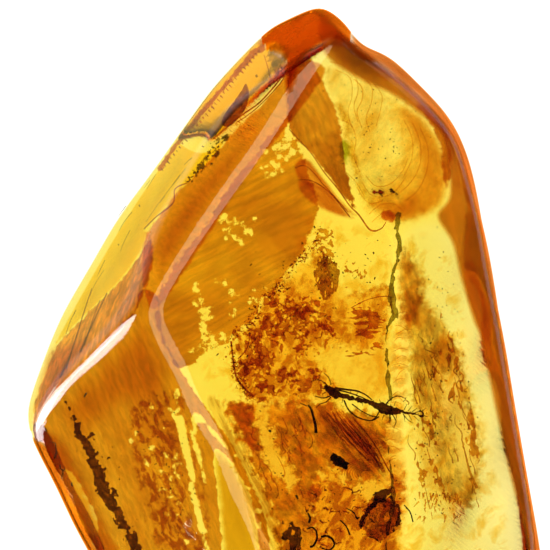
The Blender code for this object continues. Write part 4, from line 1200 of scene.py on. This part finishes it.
# shell-shaped fracture on the right: fine nested swirls
SWIRLS = [seg(p, dep, r0, r1) for p, dep, r0, r1 in (
    ([(330, 62), (346, 66), (356, 78), (358, 92), (354, 106), (358, 122)], 0.9, 0.6, 0.5), ([(336, 70), (350, 78), (352, 96), (348, 112), (352, 128)], 0.95, 0.5, 0.4), ([(354, 79), (362, 88), (362, 100), (357, 112), (362, 128)], 0.9, 0.8, 0.5),
    ([(362, 76), (372, 88), (371, 104), (366, 118), (370, 132)], 0.9, 0.6, 0.4), ([(374, 84), (382, 96), (380, 112), (376, 126)], 0.95, 0.5, 0.4), ([(357, 187), (362, 196), (369, 203), (376, 203), (383, 200)], 0.9, 0.6, 0.7),
    ([(362, 182), (370, 194), (382, 197), (394, 192), (404, 180)], 0.9, 0.5, 0.5), ([(366, 176), (376, 186), (390, 184), (402, 172), (408, 158)], 0.95, 0.5, 0.4), ([(404, 120), (412, 138), (412, 158), (404, 176)], 0.9, 0.5, 0.5),
    ([(412, 122), (420, 142), (420, 164), (411, 182), (398, 194)], 0.9, 0.5, 0.5), ([(420, 128), (428, 148), (427, 170), (418, 190), (404, 202)], 0.9, 0.5, 0.5), ([(369, 214), (380, 205), (394, 204), (404, 212)], 0.9, 0.7, 0.5),
    ([(372, 222), (384, 212), (396, 211), (402, 218)], 0.9, 0.5, 0.5), ([(342, 120), (352, 126), (356, 140), (354, 156), (360, 172)], 0.9, 0.5, 0.4), ([(346, 172), (356, 182), (364, 196)], 0.9, 0.4, 0.4))]
tubes("shell_swirls", SWIRLS, SWIRL, sides=5)

# fine flow lines that fan through the middle, and the wavy brown outlines round it
FLOW = []
for k in range(30):
    t = k / 29
    a, b = 318 + 34 * t + RNG2.normal() * 1.5, 412 + 2 * t + RNG2.normal() * 2.0
    ln = 26 + 34 * RNG2.random()
    pts = [(a + ln * q * 0.78 + 2.0 * math.sin(5 * q + 6 * t), b + ln * q * (0.75 + 0.35 * t) + 3.0 * q * q) for q in (0, 0.25, 0.5, 0.75, 1.0)]
    FLOW.append(seg(pts, 1.2 + 0.5 * RNG2.random(), 0.25, 0.6))
for k in range(8):
    r = 6 + 2.6 * k
    FLOW.append([(366 + r * math.cos(q), 474 + 0.62 * r * math.sin(q), 1.2, 0.4) for q in np.linspace(2.4 + 0.1 * k, 5.2, 7)])
for k in range(26):
    a, b = 246 + 60 * RNG2.random(), 408 + 76 * RNG2.random()
    ln = 8 + 16 * RNG2.random()
    FLOW.append(seg([(a, b), (a + 0.25 * ln + RNG2.normal(), b + 0.4 * ln), (a + 0.35 * ln, b + 0.8 * ln), (a + 0.3 * ln + RNG2.normal() * 2, b + ln)], 0.9 + 0.6 * RNG2.random(), 0.3, 0.7))
tubes("flow_lines", FLOW, stained_material("flow_lines", (0.76, 0.44, 0.10), (0.48, 0.22, 0.03), (0.3, 0.1, 0.02), 0.0, size=2.0), sides=5)

# ribs across the crack
RIBS_T = []
for k in range(24):
    v0 = 316 + 8.2 * k + RNG2.normal() * 2.6
    wide = 3.5 + 5.5 * RNG2.random()
    cu = float(np.interp(v0, [316, 361, 388, 412, 470, 514], [403, 399, 399, 394, 392, 395]))
    cu, tip_ = cu + RNG2.normal() * 2.0, RNG2.normal() * 2.0
    RIBS_T.append([(cu - wide, v0 + 1.5 + tip_, 1.0, 0.25), (cu, v0 - 1.0, 1.0, 0.5), (cu + wide, v0 + 0.8 - tip_, 1.0, 0.25)])
tubes("crack_ribs", RIBS_T, stained_material("crack_ribs", (0.88, 0.66, 0.40), (0.66, 0.42, 0.20), (0.3, 0.2, 0.1), 0.0, size=1.6), sides=5)

# a brown granular border where the stained layer stops, and thin upright lines in the right-hand part
BORDER = []
line = curve([(318, 238), (308, 250), (300, 262), (286, 274), (278, 290), (262, 300), (255, 316), (244, 326), (232, 336), (233, 356), (236, 376), (246, 392)])
for _ in range(150):
    c = line[RNG2.integers(len(line))] + RNG2.normal(size=2) * 2.6
    t, ln = RNG2.random() * 6.28, 1.2 + 3.6 * RNG2.random() ** 2
    d = 0.6 + 0.9 * RNG2.random()
    r = 0.4 + 0.9 * RNG2.random() ** 2
    BORDER.append([(c[0], c[1], d, r), (c[0] + ln * math.cos(t), c[1] + ln * math.sin(t), d + 0.05, 0.5 * r)])
tubes("border_grains", BORDER, stained_material("border_grains", (0.60, 0.28, 0.04), (0.26, 0.09, 0.01), (0.3, 0.1, 0.02), 0.05), sides=6, smooth_n=2)
UPRIGHTS = []
for k in range(46):
    a, b = 430 + 26 * RNG2.normal() * 0.6 + 8, 330 + 170 * RNG2.random()
    a += 0.16 * (b - 400)
    ln = 6 + 22 * RNG2.random() ** 1.5
    bend = RNG2.normal() * 1.6
    UPRIGHTS.append(seg([(a, b), (a + bend + 0.08 * ln, b + 0.35 * ln), (a - bend + 0.16 * ln, b + 0.7 * ln), (a + 0.24 * ln, b + ln)], 0.9 + 0.8 * RNG2.random(), 0.25, 0.75))
UPRIGHTS.append(seg([(462, 440), (466, 456), (470, 472), (477, 488)], 1.2, 0.6, 1.5))
UPRIGHTS.append(seg([(470, 478), (473, 486), (472, 494)], 1.2, 1.4, 0.6))
good = [s_ for s_ in UPRIGHTS if all(in_stone(seen(q[0], q[1], q[2]), 0.6) for q in s_)]
tubes("upright_lines", good, stained_material("upright_lines", (0.74, 0.48, 0.14), (0.42, 0.22, 0.05), (0.2, 0.1, 0.02), 0.0), sides=5, smooth_n=3)
FRINGE = []
for k in range(60):
    a, b = 418 + 44 * RNG2.random(), 492 + 26 * RNG2.random() ** 1.4
    t, ln = 1.2 + 1.2 * RNG2.random(), 2 + 6 * RNG2.random()
    FRINGE.append([(a, b, 1.0 + 0.4 * RNG2.random(), 0.5 + 0.7 * RNG2.random()), (a + ln * math.cos(t), b + ln * math.sin(t), 1.2, 0.3)])
tubes("fringe", FRINGE, stained_material("fringe", (0.84, 0.56, 0.14), (0.56, 0.28, 0.05), (0.2, 0.1, 0.02), 0.0), sides=5, smooth_n=2)
# curved dark scraps under the insect, and the folds at the lower edge
SCRAPS = []
for k in range(22):
    a, b = 304 + 60 * RNG2.random(), 486 + 66 * RNG2.random()
    t, r0 = RNG2.random() * 6.28, 2.0 + 6.0 * RNG2.random()
    SCRAPS.append([(a + r0 * math.cos(t + q) + RNG2.normal() * 0.9, b + 0.6 * r0 * math.sin(t + q) + RNG2.normal() * 0.9, 1.2, 0.3 + 1.0 * math.sin(math.pi * (q + 0.1) / 2.0) * RNG2.random()) for q in np.linspace(0, 1.8, 5)])
tubes("lower_scraps", SCRAPS, stained_material("lower_scraps", (0.50, 0.26, 0.04), (0.20, 0.09, 0.01), (0.2, 0.1, 0.02), 0.05, size=3.0), sides=6, smooth_n=3)


# ------------------------------------------------------------------ floor and light
# A white light table: full brightness round the stone, falling off to a pale surface further out.
m, nt, out = material("floor")
tc = node(nt, "ShaderNodeTexCoord")
dist = node(nt, "ShaderNodeVectorMath", {0: tc.outputs["Object"]}, operation="LENGTH")
fall = node(nt, "ShaderNodeMapRange", {"Value": dist.outputs["Value"], "From Min": 0.06, "From Max": 0.26, "To Min": 1.07, "To Max": 0.45}, interpolation_type="SMOOTHSTEP")
glow = node(nt, "ShaderNodeEmission", {"Color": (1, 1, 1, 1), "Strength": fall.outputs["Result"]})
matt = node(nt, "ShaderNodeBsdfDiffuse", {"Color": (0.18, 0.178, 0.176, 1)})
add = node(nt, "ShaderNodeAddShader", {0: glow.outputs[0], 1: matt.outputs[0]})
nt.links.new(add.outputs[0], out.inputs["Surface"])
fm = bpy.data.meshes.new("floor")
S = 8.0
fm.from_pydata([(-S, -S, 0), (S, -S, 0), (S, S, 0), (-S, S, 0)], [], [(0, 1, 2, 3)])
fm.materials.append(m)
floor = bpy.data.objects.new("floor", fm)
floor.location = (0, 0, -0.00005)
scene.collection.objects.link(floor)

world = bpy.data.worlds.new("studio")
scene.world = world
world.use_nodes = True
nt = world.node_tree
nt.nodes.clear()
wout = nt.nodes.new("ShaderNodeOutputWorld")
tc = node(nt, "ShaderNodeTexCoord")
sep = node(nt, "ShaderNodeSeparateXYZ", {0: tc.outputs["Generated"]})
grad = ramp(nt, sep.outputs["Z"], [(0.0, (0.42, 0.42, 0.42)), (0.03, (0.42, 0.42, 0.42)), (0.12, (0.05, 0.05, 0.05)), (1.0, (0.03, 0.03, 0.03))])
bg = node(nt, "ShaderNodeBackground", {"Color": grad, "Strength": 1.0})
nt.links.new(bg.outputs[0], wout.inputs["Surface"])


def area(name, where, towards, w, h, radiance, roll=0.0, colour=(1.0, 1.0, 1.0), through=True):
    """A rectangular light of a given radiance (radiance 1 is the light table's white)."""
    ld = bpy.data.lights.new(name, "AREA")
    ld.shape = "RECTANGLE"
    ld.size, ld.size_y = w, h
    ld.energy = radiance * math.pi * w * h
    ob = bpy.data.objects.new(name, ld)
    z = (Vector(where) - Vector(towards)).normalized()
    y = Vector((0, 1, 0))
    x = y.cross(z).normalized()
    ob.visible_camera = False
    ob.visible_transmission = through
    ld.color = colour
    y = z.cross(x)
    ob.matrix_world = Matrix.Translation(Vector(where)) @ Matrix((x, y, z)).transposed().to_4x4() @ Matrix.Rotation(roll, 4, "Z")
    scene.collection.objects.link(ob)
    return ob


area("strip_left", (-0.246, 0.0, 0.375), (0, 0, 0.01), 0.24, 0.9, 3.3, colour=(1.0, 0.90, 0.58))
area("strip_low", (-0.20, -0.11, 0.032), (0.0, -0.01, 0.020), 0.060, 0.20, 12.0, through=False)
area("strip_mid", (-0.226, -0.035, 0.045), (0.0, 0.0, 0.010), 0.084, 0.085, 12.0, through=False)
area("strip_floor", (-0.135, -0.055, 0.0002), (-0.135, -0.055, 1.0), 0.13, 0.13, 6.0, through=False)
area("box_right", (0.22, 0.24, 0.10), (0.006, 0.014, 0.01), 0.3, 0.16, 0.55, colour=(1.0, 0.80, 0.55))
area("low_right", (0.30, 0.0, 0.045), (0.0, 0.0, 0.008), 0.085, 0.7, 0.9)
